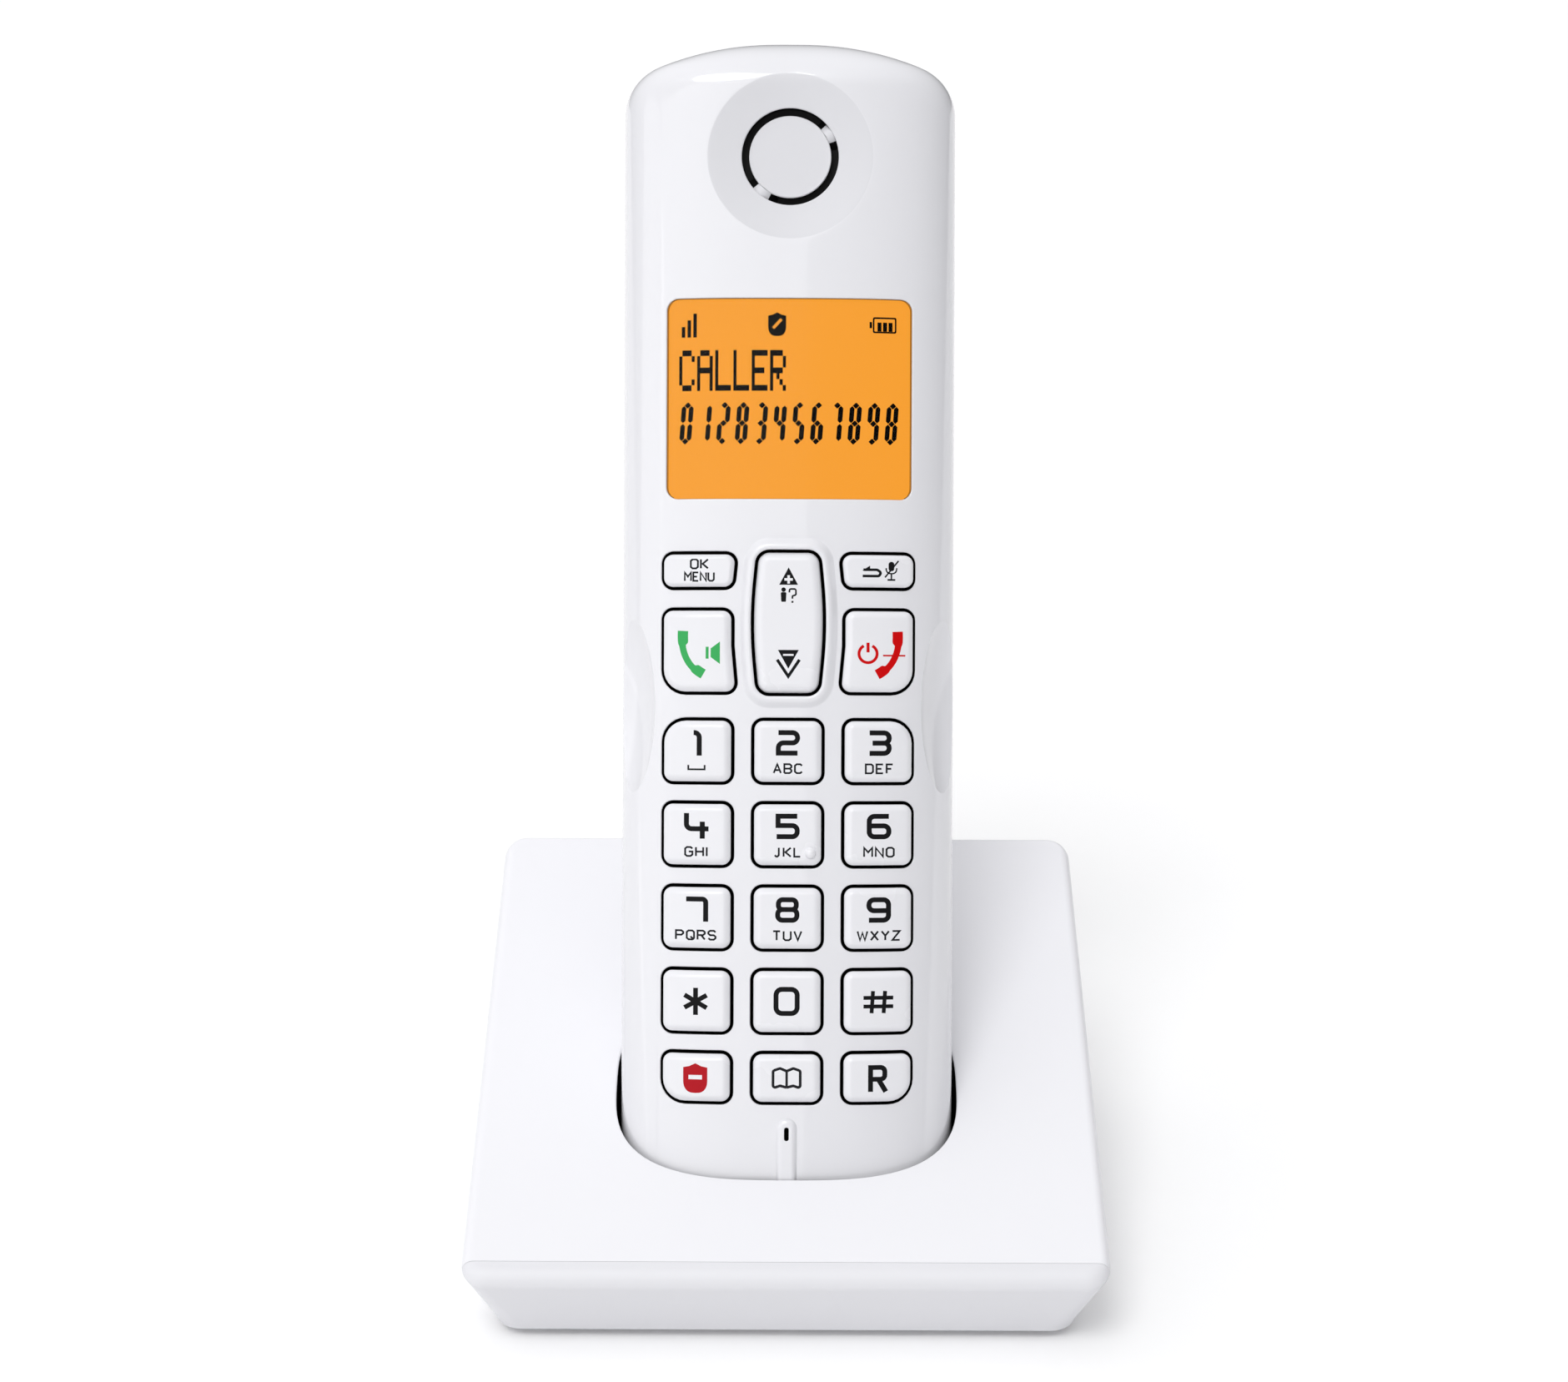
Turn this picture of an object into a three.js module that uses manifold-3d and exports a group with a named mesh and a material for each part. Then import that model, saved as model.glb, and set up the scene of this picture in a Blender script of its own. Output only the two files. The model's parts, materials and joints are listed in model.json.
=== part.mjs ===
// A cordless telephone: a slim handset standing in its wedge-shaped charging base.
//
// Millimetres, +Z up. The phone faces -Y and stands on the plane z = 0. The handset is drawn upright
// in its own frame (+Z along its length, its face towards -Y, its bottom end at z = 0) and then
// leans back in the base. The origin is under the middle of the whole phone's bounding box.
import * as THREE from "three";
import { mergeVertices } from "three/addons/utils/BufferGeometryUtils.js";
import Module from "manifold-3d";

const wasm = await Module();
wasm.setup();

// Driving dimensions ---------------------------------------------------------------------------

const GAP = 0.3;                    // clearance between neighbouring pieces

const LEAN = 20;                    // degrees that the handset leans back
const SEAT_Y = -13.4;               // where the middle of the handset's bottom end stands
const SEAT_Z = 9.6;

const HANDSET = { length: 170.3, halfWidth: 24.4, halfDepth: 13, squareness: 3 };
const END = { bottomRadius: 5, topArcRadius: 50.6, topCornerRadius: 7.4, topNose: 8 };
const SHELL_WALL = 1.8;
const SPLIT_Y = 2;                  // the front shell ends here and the rear shell starts

const COLUMN = 13;                  // spacing of the keypad's columns
const ROW = 12;                     // spacing of the digit rows
const ROW_1_Z = 66.2;               // height of the row with the 1, 2 and 3
const KEY = { width: 10.6, height: 9.7, corner: 1.4, bigCorner: 3, slot: 0.42, proud: 0.9, lean: 0.6 };
const KEY_BOTTOM_Y = -7.6;          // underside of every key
const LOW_ROW = { z: 19.2, height: 7.8 };
const SOFT_KEY = { x: 12.6, z: 92.2, width: 11, height: 5.6 };
const CALL_KEY = { x: 12.6, z: 80.6, width: 11, height: 12.6 };
const NAV = { z: 84.7, width: 11, endWidth: 8.5, height: 20.2, corner: 1.4, slot: 0.45, proud: 1.1 };
const NAV_RIM = { width: 14, height: 24.7, corner: 4, proud: 0.8 };
const CUT = { front: -16, back: -6 };     // openings in the face are cut between these depths
const RAISED_FROM = -11.8;                // what stands up from the face starts at this depth

const WINDOW = { z: 117, width: 35.2, height: 29.1, corner: 1.4, thickness: 1.5 };
const EAR = { z: 152, dishRadius: 12, depth: 1.3, sphere: 55.4, slotInner: 6, slotOuter: 7, bridge: 16 };
const EAR_STRETCH = 1.35;           // widens the dish, so that its outline on the curved face is round
const EARPIECE = { radius: 8.6, feltFront: -10.5, feltBack: -10, front: -9.7, back: -6.2 };
const MIC = { z: 11.2, radius: 2, front: -10.7, back: -9.2 };
const MIC_RIB = { width: 3, top: 13.4, corner: 1.4, proud: 0.5 };
const MIC_SLOT = { width: 0.65, height: 1.9 };
const SCOOP = { x: 28.5, y: -12.5, z: 72.6, radius: 9.5, halfLength: 21 };

const BOARD = { y: -4.8, thickness: 1.6, halfWidth: 19, bottom: 8, top: 136 };
const LCD = { halfWidth: 17.2, halfHeight: 15.1, front: -8.4 };
const KEY_MAT = { thickness: 1.2, halfWidth: 18.9, bottom: 14, top: 95.8 };
const CELL = { radius: 5.25, length: 43.3, spacing: 10.9, y: 5.4, bottom: 46.3, nub: 1.2, nubRadius: 1.9 };
const TERMINAL = { inner: 0.6, outer: 10.4, front: 0.6, back: 10.2, thickness: 0.5, stud: 1.8, spring: 2.6 };
const BAY = { halfWidth: 11.4, bottom: 43.5, top: 93.5, floor: -0.4, wall: 1.4 };
const DOOR = { halfWidth: 17, bottom: 34, top: 104, corner: 3, thickness: 1.5, rim: 1.8 };
const LEDGE = { y: 9, thickness: 1.3 };    // the step under the battery door that it closes on
const RINGER = { z: 138, radius: 9, front: 5.4, back: 10 };
const GRILLE = { slots: 5, pitch: 2.4, slotWidth: 1.1, slotLength: 12 };
const CHARGE = { x: 9, y: 6, openWidth: 4.4, openDepth: 5, width: 3, depth: 3.4, thickness: 0.45, low: -2.9 };
const CHARGE_PLATE = { halfWidth: 3, front: 3, back: 8.6, thickness: 0.5 };
const HANDSET_SCREW = { x: 12, z: 98.8, headRadius: 2.2, headHeight: 1, radius: 1.1, length: 12 };
const POST = { radius: 2.6, front: -11, holeFront: -4.5 };

const BASE = { halfWidth: 45.5, front: -41.2, back: 42, corner: 3.5, wall: 1.8 };
const FOOTPRINT = { halfWidth: 41.4, front: -37.1, back: 40.2, corner: 6 };
const BASE_BOTTOM = 1.2;
const TOP_SLOPE = 20.8;             // degrees that the base's top rises towards the back
const NOSE_Z = 13.5;                // height of the top plane above the seam of the front band
const SEAM_Y = -38.6;               // the front band of the lower housing ends here
const SKIRT_Z = 9;                  // the top cover's side walls end here
const EDGE = { side: 1, nose: 2.2, foot: 0.8 };
const POCKET = { clearance: 0.9, wall: 1.8, floor: -0.5, lowest: 3.3 };
const CONTACT_SLOT = { width: 4.2, depth: 4.6 };

const FOOT = { x: 32, front: -27, back: 32, radius: 4.5, recess: 0.8 };
const BASE_SCREW = { x: 36, y: 2, headRadius: 2.8, radius: 1.2, headBottom: 2.2, headTop: 3.8, top: 11 };
const BOSS = { upper: 3, upperBottom: 6.5, lower: 4.4, lowerTop: 6 };
const BASE_BOARD = { halfWidth: 34, front: 14, back: 38, z: 5, thickness: 1.6 };
const JACK = { x: 20, width: 13, front: 25, back: 38.4, top: 18.9 };
const SOCKET = { width: 9.8, front: 27.5, bottom: 9.6, top: 16.8 };
const PAGE = { radius: 4, flange: 5.4, z: 15, front: 37.2, flangeBack: 38.4, back: 41.8 };

// Materials ------------------------------------------------------------------------------------

function finish(color, roughness, metalness = 0) {
  return () => new THREE.MeshStandardMaterial({ color, roughness, metalness });
}
const whiteShell = finish(0xf3f3f7, 0.36);
const whiteKey = finish(0xf7f7fa, 0.32);
const clearLens = finish(0xf9a233, 0.12);
const displayGlass = finish(0xe8932a, 0.3);
const blackPlastic = finish(0x17171a, 0.5);
const blackFelt = finish(0x0c0c0d, 0.95);
const circuitBoard = finish(0x1e5a36, 0.6);
const greySilicone = finish(0x9a9da3, 0.8);
const nickel = finish(0xb9b9b4, 0.3, 1);
const steel = finish(0x9da0a5, 0.35, 1);
const cellWrap = finish(0x2f7d57, 0.4);
const greyRubber = finish(0x4a4b4f, 0.9);

// Solid helpers --------------------------------------------------------------------------------

// A closed geometry as a solid. Triangles that merging has flattened to a line are left out.
function solid(geometry) {
  geometry.deleteAttribute("normal");
  geometry.deleteAttribute("uv");
  const merged = mergeVertices(geometry, 1e-4);
  const corners = merged.index.array;
  const triangles = [];
  for (let i = 0; i < corners.length; i += 3) {
    const [a, b, c] = [corners[i], corners[i + 1], corners[i + 2]];
    if (a !== b && b !== c && c !== a) triangles.push(a, b, c);
  }
  return new wasm.Manifold(new wasm.Mesh({
    numProp: 3,
    vertProperties: new Float32Array(merged.attributes.position.array),
    triVerts: new Uint32Array(triangles),
  }));
}

function place(parent, name, shape, material) {
  const mesh = shape.getMesh();
  const geometry = new THREE.BufferGeometry();
  geometry.setAttribute("position", new THREE.BufferAttribute(mesh.vertProperties, 3));
  geometry.setIndex(new THREE.BufferAttribute(mesh.triVerts, 1));
  geometry.computeVertexNormals();
  const piece = new THREE.Mesh(geometry, material());
  piece.name = name;
  parent.add(piece);
  return piece;
}

// A closed skin over a stack of rings, listed from the top down, each counter-clockwise from above.
function loft(rings) {
  const sides = rings[0].length;
  const geometry = new THREE.CylinderGeometry(1, 1, 1, sides, rings.length - 1);
  const position = geometry.attributes.position;
  const middles = rings.map((ring) => ring.reduce((sum, point) => sum.add(point), new THREE.Vector3())
    .divideScalar(sides));
  for (let i = 0; i < position.count; i += 1) {
    const [x, y, z] = [position.getX(i), position.getY(i), position.getZ(i)];
    const row = Math.round((0.5 - y) * (rings.length - 1));
    const step = Math.round((Math.atan2(x, z) / (2 * Math.PI)) * sides + sides) % sides;
    const point = Math.hypot(x, z) < 0.5 ? middles[row] : rings[row][step];
    position.setXYZ(i, point.x, point.y, point.z);
  }
  return solid(geometry);
}

function box(x0, x1, y0, y1, z0, z1) {
  const geometry = new THREE.BoxGeometry(x1 - x0, y1 - y0, z1 - z0);
  return solid(geometry.translate((x0 + x1) / 2, (y0 + y1) / 2, (z0 + z1) / 2));
}

// An outline drawn in y and z, made as wide as x0 to x1.
function plateX(outline, x0, x1) {
  const geometry = new THREE.ExtrudeGeometry(outline, {
    depth: x1 - x0, bevelEnabled: false, curveSegments: 4,
  });
  const turn = new THREE.Matrix4().makeBasis(
    new THREE.Vector3(0, 1, 0),
    new THREE.Vector3(0, 0, 1),
    new THREE.Vector3(1, 0, 0),
  );
  return solid(geometry.applyMatrix4(turn).translate(x0, 0, 0));
}

// A rod along Y, from y0 to y1, around the point (x, z).
function rodY(radius, x, z, y0, y1, sides = 16) {
  const geometry = new THREE.CylinderGeometry(radius, radius, y1 - y0, sides);
  return solid(geometry.translate(x, (y0 + y1) / 2, z));
}

// A rod along Z, from z0 to z1, around the point (x, y).
function rodZ(radius, x, y, z0, z1, sides = 16) {
  const geometry = new THREE.CylinderGeometry(radius, radius, z1 - z0, sides);
  return solid(geometry.rotateX(Math.PI / 2).translate(x, y, (z0 + z1) / 2));
}

// An outline drawn in x and z, made as thick as y0 to y1.
function plateY(outline, y0, y1) {
  const geometry = new THREE.ExtrudeGeometry(outline, {
    depth: y1 - y0, bevelEnabled: false, curveSegments: 3,
  });
  return solid(geometry.rotateX(Math.PI / 2).translate(0, y1, 0));
}

// A rectangle around (x, z) with one radius, or a radius for each corner in the order bottom left,
// bottom right, top right, top left. Lean slants the side nearest the phone's middle: it draws the
// lower corner outwards where it is positive, and the upper one where it is negative.
function panel(x, z, width, height, radius, lean = 0) {
  const corners = Array.isArray(radius) ? radius : Array(4).fill(radius);
  const [left, right] = [x - width / 2, x + width / 2];
  const [low, high] = [z - height / 2, z + height / 2];
  const points = [[left, low], [right, low], [right, high], [left, high]];
  const innerCorners = x < 0 ? [1, 2] : [0, 3];
  const moved = lean > 0 ? innerCorners[0] : innerCorners[1];
  points[moved][0] += Math.sign(x) * Math.abs(lean);
  return roundedOutline(points, corners);
}

function roundedOutline(points, radii) {
  const outline = new THREE.Shape();
  points.forEach((point, i) => {
    const here = new THREE.Vector2(...point);
    const before = new THREE.Vector2(...points[(i + points.length - 1) % points.length]);
    const after = new THREE.Vector2(...points[(i + 1) % points.length]);
    const start = before.sub(here).setLength(radii[i]).add(here);
    const end = after.sub(here).setLength(radii[i]).add(here);
    if (i === 0) outline.moveTo(start.x, start.y);
    else outline.lineTo(start.x, start.y);
    outline.quadraticCurveTo(here.x, here.y, end.x, end.y);
  });
  outline.closePath();
  return outline;
}

function joined(shapes) {
  return shapes.reduce((sum, shape) => sum.add(shape));
}

// The handset's outer form ---------------------------------------------------------------------

function squaredOval(halfWidth, halfDepth, z, sides) {
  const power = 2 / HANDSET.squareness;
  return Array.from({ length: sides }, (_, i) => {
    const angle = (i / sides) * 2 * Math.PI;
    const [cos, sin] = [Math.cos(angle), Math.sin(angle)];
    const x = Math.sign(cos) * halfWidth * Math.abs(cos) ** power;
    const y = Math.sign(sin) * halfDepth * Math.abs(sin) ** power;
    return new THREE.Vector3(x, y, z);
  });
}

// Half the width of the front outline at height z: straight sides, round shoulders, an arched top.
function outlineHalfWidth(z, grow) {
  const half = HANDSET.halfWidth + grow;
  const arc = END.topArcRadius + grow;
  const corner = END.topCornerRadius + grow;
  const arcZ = HANDSET.length - END.topArcRadius;
  const cornerX = half - corner;
  const cornerZ = arcZ + Math.sqrt((arc - corner) ** 2 - cornerX ** 2);
  if (z <= cornerZ) return half;
  const meetZ = arcZ + (cornerZ - arcZ) * (arc / (arc - corner));
  if (z < meetZ) return cornerX + Math.sqrt(Math.max(0, corner ** 2 - (z - cornerZ) ** 2));
  return Math.sqrt(Math.max(0, arc ** 2 - (z - arcZ) ** 2));
}

// The handset's body with its surface moved out by grow, or in where grow is negative.
function handsetBody(grow, sides = 40) {
  const rings = [];
  const top = HANDSET.length + grow;
  const nose = END.topNose + grow;
  const halfDepth = HANDSET.halfDepth + grow;
  for (const angle of [86, 74, 60, 45, 30, 15]) {
    const rise = Math.sin(THREE.MathUtils.degToRad(angle));
    const z = top - nose + nose * rise;
    rings.push(squaredOval(outlineHalfWidth(z, grow), halfDepth * Math.sqrt(1 - rise ** 2), z, sides));
  }
  const shoulder = top - nose - 2.5;
  rings.push(squaredOval(HANDSET.halfWidth + grow, halfDepth, shoulder, sides));
  const radius = END.bottomRadius + grow;
  for (const angle of [90, 60, 30, 0]) {
    const out = radius * (1 - Math.sin(THREE.MathUtils.degToRad(angle)));
    const z = -grow + radius * (1 - Math.cos(THREE.MathUtils.degToRad(angle)));
    rings.push(squaredOval(HANDSET.halfWidth + grow - out, halfDepth - out, z, sides));
  }
  return loft(rings);
}

// Keys -----------------------------------------------------------------------------------------

const sides = [-1, 1];
const small = KEY.corner;
const big = KEY.bigCorner;

// Each key's name, place, corners and slant.
function keyPlan() {
  const plan = sides.flatMap((side) => {
    const [soft, call] = side < 0 ? ["key_ok_menu", "key_talk"] : ["key_back_mute", "key_end"];
    const corners = side < 0 ? [big, small, small, small] : [small, big, small, small];
    return [
      { name: soft, ...SOFT_KEY, x: side * SOFT_KEY.x, corners: Array(4).fill(small), lean: KEY.lean },
      { name: call, ...CALL_KEY, x: side * CALL_KEY.x, corners, lean: -KEY.lean },
    ];
  });
  const digits = [["1", "2", "3"], ["4", "5", "6"], ["7", "8", "9"], ["star", "0", "hash"]];
  digits.forEach((row, r) => row.forEach((label, c) => {
    const corners = Array(4).fill(small);
    if (label === "1") corners[3] = big;
    if (label === "3") corners[2] = big;
    const place = { x: (c - 1) * COLUMN, z: ROW_1_Z - r * ROW };
    plan.push({ name: `key_${label}`, ...place, width: KEY.width, height: KEY.height, corners, lean: 0 });
  }));
  ["block", "phonebook", "recall"].forEach((label, c) => {
    const corners = [c === 0 ? big : small, c === 2 ? big : small, small, small];
    const place = { x: (c - 1) * COLUMN, z: LOW_ROW.z };
    plan.push({ name: `key_${label}`, ...place, width: KEY.width, height: LOW_ROW.height, corners, lean: 0 });
  });
  return plan;
}

// The outline of a key's opening, or of the key itself when it is inset.
function keyOutline({ x, z, width, height, corners, lean }, inset = 0) {
  const radii = corners.map((radius) => radius - inset * 0.7);
  return panel(x, z, width - 2 * inset, height - 2 * inset, radii, lean);
}

// The navigation key is a barrel: its ends are narrower than its middle.
function navOutline(grow = 0) {
  const wide = NAV.width / 2 + grow;
  const end = NAV.endWidth / 2 + grow;
  const half = NAV.height / 2 + grow;
  const flat = end - NAV.corner;
  const shoulder = half - NAV.corner;
  const [low, high] = [NAV.z - half, NAV.z + half];
  const outline = new THREE.Shape();
  outline.moveTo(-flat, low);
  outline.lineTo(flat, low);
  outline.quadraticCurveTo(end, low, end, NAV.z - shoulder);
  outline.quadraticCurveTo(wide, NAV.z, end, NAV.z + shoulder);
  outline.quadraticCurveTo(end, high, flat, high);
  outline.lineTo(-flat, high);
  outline.quadraticCurveTo(-end, high, -end, NAV.z + shoulder);
  outline.quadraticCurveTo(-wide, NAV.z, -end, NAV.z - shoulder);
  outline.quadraticCurveTo(-end, low, -flat, low);
  return outline;
}

// The handset's pieces -------------------------------------------------------------------------

const outer = handsetBody(0);
const inner = handsetBody(-SHELL_WALL, 24);
const everyKey = keyPlan();

// One of the earpiece's two curved sound slots, between the bridges that hold the centre disc.
function soundSlot(startDegrees) {
  const start = THREE.MathUtils.degToRad(startDegrees + EAR.bridge / 2);
  const end = THREE.MathUtils.degToRad(startDegrees + 180 - EAR.bridge / 2);
  const outline = new THREE.Shape();
  outline.absarc(0, EAR.z, EAR.slotOuter, start, end, false);
  outline.absarc(0, EAR.z, EAR.slotInner, end, start, true);
  outline.closePath();
  return plateY(outline, CUT.front, CUT.back);
}

// The hollow around the earpiece is the end of a large rounded form, revolved and then widened.
function earDish() {
  const rim = EAR.dishRadius + 2;
  const profile = [];
  for (let i = 0; i <= 6; i += 1) {
    const radius = (rim * i) / 6;
    profile.push(new THREE.Vector2(radius, EAR.sphere - Math.sqrt(EAR.sphere ** 2 - radius ** 2)));
  }
  profile.push(new THREE.Vector2(rim, 8), new THREE.Vector2(0, 8));
  const geometry = new THREE.LatheGeometry(profile, 32);
  geometry.rotateX(Math.PI).scale(EAR_STRETCH, 1, 1);
  return solid(geometry.translate(0, EAR.depth - HANDSET.halfDepth, EAR.z));
}

function gripScoops() {
  return joined(sides.map((side) => {
    const geometry = new THREE.SphereGeometry(1, 16, 12);
    geometry.scale(SCOOP.radius, SCOOP.radius, SCOOP.halfLength);
    return solid(geometry.translate(side * SCOOP.x, SCOOP.y, SCOOP.z));
  }));
}

// The raised rim around the navigation key follows the curve of the face.
function navRim() {
  const outline = panel(0, NAV.z, NAV_RIM.width, NAV_RIM.height, NAV_RIM.corner);
  return plateY(outline, CUT.front, RAISED_FROM).intersect(handsetBody(NAV_RIM.proud, 24));
}

// The microphone sits behind a raised rib that runs down into the base.
function micRib() {
  const height = MIC_RIB.top - END.bottomRadius;
  const corners = [0.1, 0.1, MIC_RIB.corner, MIC_RIB.corner];
  const outline = panel(0, MIC_RIB.top - height / 2, MIC_RIB.width, height, corners);
  return plateY(outline, CUT.front, RAISED_FROM).intersect(handsetBody(MIC_RIB.proud, 24));
}

// Rods along the handset's two screws.
function screwRods(radius, y0, y1) {
  return joined(sides.map((side) => rodY(radius, side * HANDSET_SCREW.x, HANDSET_SCREW.z, y0, y1, 12)));
}

function frontShell() {
  const posts = screwRods(POST.radius, POST.front, SPLIT_Y - GAP);
  const screwHoles = screwRods(HANDSET_SCREW.radius + GAP, POST.holeFront, SPLIT_Y + 1);
  const windowWidth = WINDOW.width + 2 * GAP;
  const window = panel(0, WINDOW.z, windowWidth, WINDOW.height + 2 * GAP, WINDOW.corner);
  const micSlot = panel(0, MIC.z, MIC_SLOT.width, MIC_SLOT.height, MIC_SLOT.width / 3);
  return outer.subtract(inner)
    .intersect(box(-30, 30, -20, SPLIT_Y, -5, 180))
    .subtract(gripScoops())
    .add(navRim())
    .add(micRib())
    .add(posts)
    .subtract(earDish())
    .subtract(screwHoles)
    .subtract(joined(everyKey.map((key) => plateY(keyOutline(key), CUT.front, CUT.back))))
    .subtract(plateY(navOutline(NAV.slot), CUT.front, CUT.back))
    .subtract(plateY(window, CUT.front, CUT.back))
    .subtract(plateY(micSlot, CUT.front, CUT.back))
    .subtract(soundSlot(45))
    .subtract(soundSlot(225));
}

function doorOutline(grow) {
  const height = DOOR.top - DOOR.bottom + 2 * grow;
  const middle = (DOOR.top + DOOR.bottom) / 2;
  return panel(0, middle, 2 * (DOOR.halfWidth + grow), height, DOOR.corner + grow);
}

// The rear shell carries the open battery bay, the ledge that the door closes on, the ringer's
// grille and the two openings that the base's charging contacts reach through.
function rearShell() {
  const ledge = plateY(doorOutline(DOOR.rim), LEDGE.y - LEDGE.thickness, 14).intersect(outer);
  const bayHalf = BAY.halfWidth + BAY.wall;
  const bay = box(-bayHalf, bayHalf, BAY.floor - BAY.wall, LEDGE.y,
    BAY.bottom - BAY.wall, BAY.top + BAY.wall);
  const hollow = box(-BAY.halfWidth, BAY.halfWidth, BAY.floor, 20, BAY.bottom, BAY.top);
  const screwHoles = screwRods(HANDSET_SCREW.radius + GAP, LEDGE.y - 3, LEDGE.y + 3);
  const grille = joined(Array.from({ length: GRILLE.slots }, (_, i) => {
    const z = RINGER.z + (i - (GRILLE.slots - 1) / 2) * GRILLE.pitch;
    const slot = panel(0, z, GRILLE.slotLength, GRILLE.slotWidth, GRILLE.slotWidth / 3);
    return plateY(slot, LEDGE.y, 16);
  }));
  const chargeOpenings = joined(sides.map((side) => box(
    side * CHARGE.x - CHARGE.openWidth / 2, side * CHARGE.x + CHARGE.openWidth / 2,
    CHARGE.y - CHARGE.openDepth / 2, CHARGE.y + CHARGE.openDepth / 2, -1, SHELL_WALL + 1,
  )));
  return outer.subtract(inner)
    .intersect(box(-30, 30, SPLIT_Y + GAP, 20, -5, 180))
    .add(ledge)
    .add(bay)
    .subtract(plateY(doorOutline(GAP), LEDGE.y, 20))
    .subtract(hollow)
    .subtract(screwHoles)
    .subtract(grille)
    .subtract(chargeOpenings);
}

function batteryDoor() {
  return plateY(doorOutline(0), LEDGE.y, 20)
    .intersect(outer)
    .subtract(handsetBody(-DOOR.thickness, 40));
}

function terminalPlate(x0, x1, z) {
  return box(x0, x1, TERMINAL.front, TERMINAL.back, z, z + TERMINAL.thickness);
}

// Two cells lie side by side, the left one with its positive end up and the right one reversed.
function addBatteries(handset) {
  const top = CELL.bottom + CELL.length;
  const mirrorZ = BAY.bottom + BAY.top;
  const middleY = CELL.y;
  const left = -CELL.spacing / 2;
  const right = CELL.spacing / 2;
  const leftCell = rodZ(CELL.radius, left, middleY, CELL.bottom, top, 20)
    .add(rodZ(CELL.nubRadius, left, middleY, top - 0.1, top + CELL.nub, 12));
  const rightCell = rodZ(CELL.radius, right, middleY, mirrorZ - top, mirrorZ - CELL.bottom, 20)
    .add(rodZ(CELL.nubRadius, right, middleY, mirrorZ - top - CELL.nub, mirrorZ - top + 0.1, 12));
  place(handset, "battery_left", leftCell, cellWrap);
  place(handset, "battery_right", rightCell, cellWrap);

  const plateZ = BAY.bottom + GAP;
  const springTop = CELL.bottom - GAP;
  const nubTop = mirrorZ - top - CELL.nub - GAP;
  const thick = TERMINAL.thickness;
  const jumper = terminalPlate(-TERMINAL.outer, TERMINAL.outer, plateZ)
    .add(rodZ(TERMINAL.spring, left, middleY, plateZ, springTop, 12))
    .add(rodZ(TERMINAL.stud, right, middleY, plateZ, nubTop, 12));
  place(handset, "battery_jumper", jumper, nickel);
  const upper = mirrorZ - plateZ;
  const positive = terminalPlate(-TERMINAL.outer, -TERMINAL.inner, upper - thick)
    .add(rodZ(TERMINAL.stud, left, middleY, mirrorZ - nubTop, upper, 12));
  const negative = terminalPlate(TERMINAL.inner, TERMINAL.outer, upper - thick)
    .add(rodZ(TERMINAL.spring, right, middleY, mirrorZ - springTop, upper, 12));
  place(handset, "battery_terminal_positive", positive, nickel);
  place(handset, "battery_terminal_negative", negative, nickel);
}

function addKeys(handset) {
  const surface = handsetBody(KEY.proud);
  everyKey.forEach((key) => {
    const cap = plateY(keyOutline(key, KEY.slot), CUT.front, KEY_BOTTOM_Y).intersect(surface);
    place(handset, key.name, cap, whiteKey);
  });
  const rocker = plateY(navOutline(), CUT.front, KEY_BOTTOM_Y).intersect(handsetBody(NAV.proud));
  place(handset, "key_navigation", rocker, whiteKey);
  const matBack = BOARD.y - GAP;
  const mat = box(-KEY_MAT.halfWidth, KEY_MAT.halfWidth, matBack - KEY_MAT.thickness, matBack,
    KEY_MAT.bottom, KEY_MAT.top);
  place(handset, "key_mat", mat, greySilicone);
}

function addElectronics(handset) {
  const holes = screwRods(POST.radius + GAP, BOARD.y - 1, BOARD.y + BOARD.thickness + 1);
  const board = box(-BOARD.halfWidth, BOARD.halfWidth, BOARD.y, BOARD.y + BOARD.thickness,
    BOARD.bottom, BOARD.top).subtract(holes);
  place(handset, "main_board", board, circuitBoard);

  const lens = plateY(panel(0, WINDOW.z, WINDOW.width, WINDOW.height, WINDOW.corner), CUT.front, CUT.back)
    .intersect(outer)
    .subtract(handsetBody(-WINDOW.thickness));
  place(handset, "display_lens", lens, clearLens);
  const glass = box(-LCD.halfWidth, LCD.halfWidth, LCD.front, BOARD.y - GAP,
    WINDOW.z - LCD.halfHeight, WINDOW.z + LCD.halfHeight);
  place(handset, "lcd_module", glass, displayGlass);

  const felt = rodY(EARPIECE.radius, 0, EAR.z, EARPIECE.feltFront, EARPIECE.feltBack);
  const speaker = rodY(EARPIECE.radius, 0, EAR.z, EARPIECE.front, EARPIECE.back);
  place(handset, "earpiece_felt", felt, blackFelt);
  place(handset, "earpiece_speaker", speaker, blackPlastic);
  place(handset, "microphone", rodY(MIC.radius, 0, MIC.z, MIC.front, MIC.back, 12), nickel);
  place(handset, "ringer_speaker", rodY(RINGER.radius, 0, RINGER.z, RINGER.front, RINGER.back), blackPlastic);
}

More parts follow.
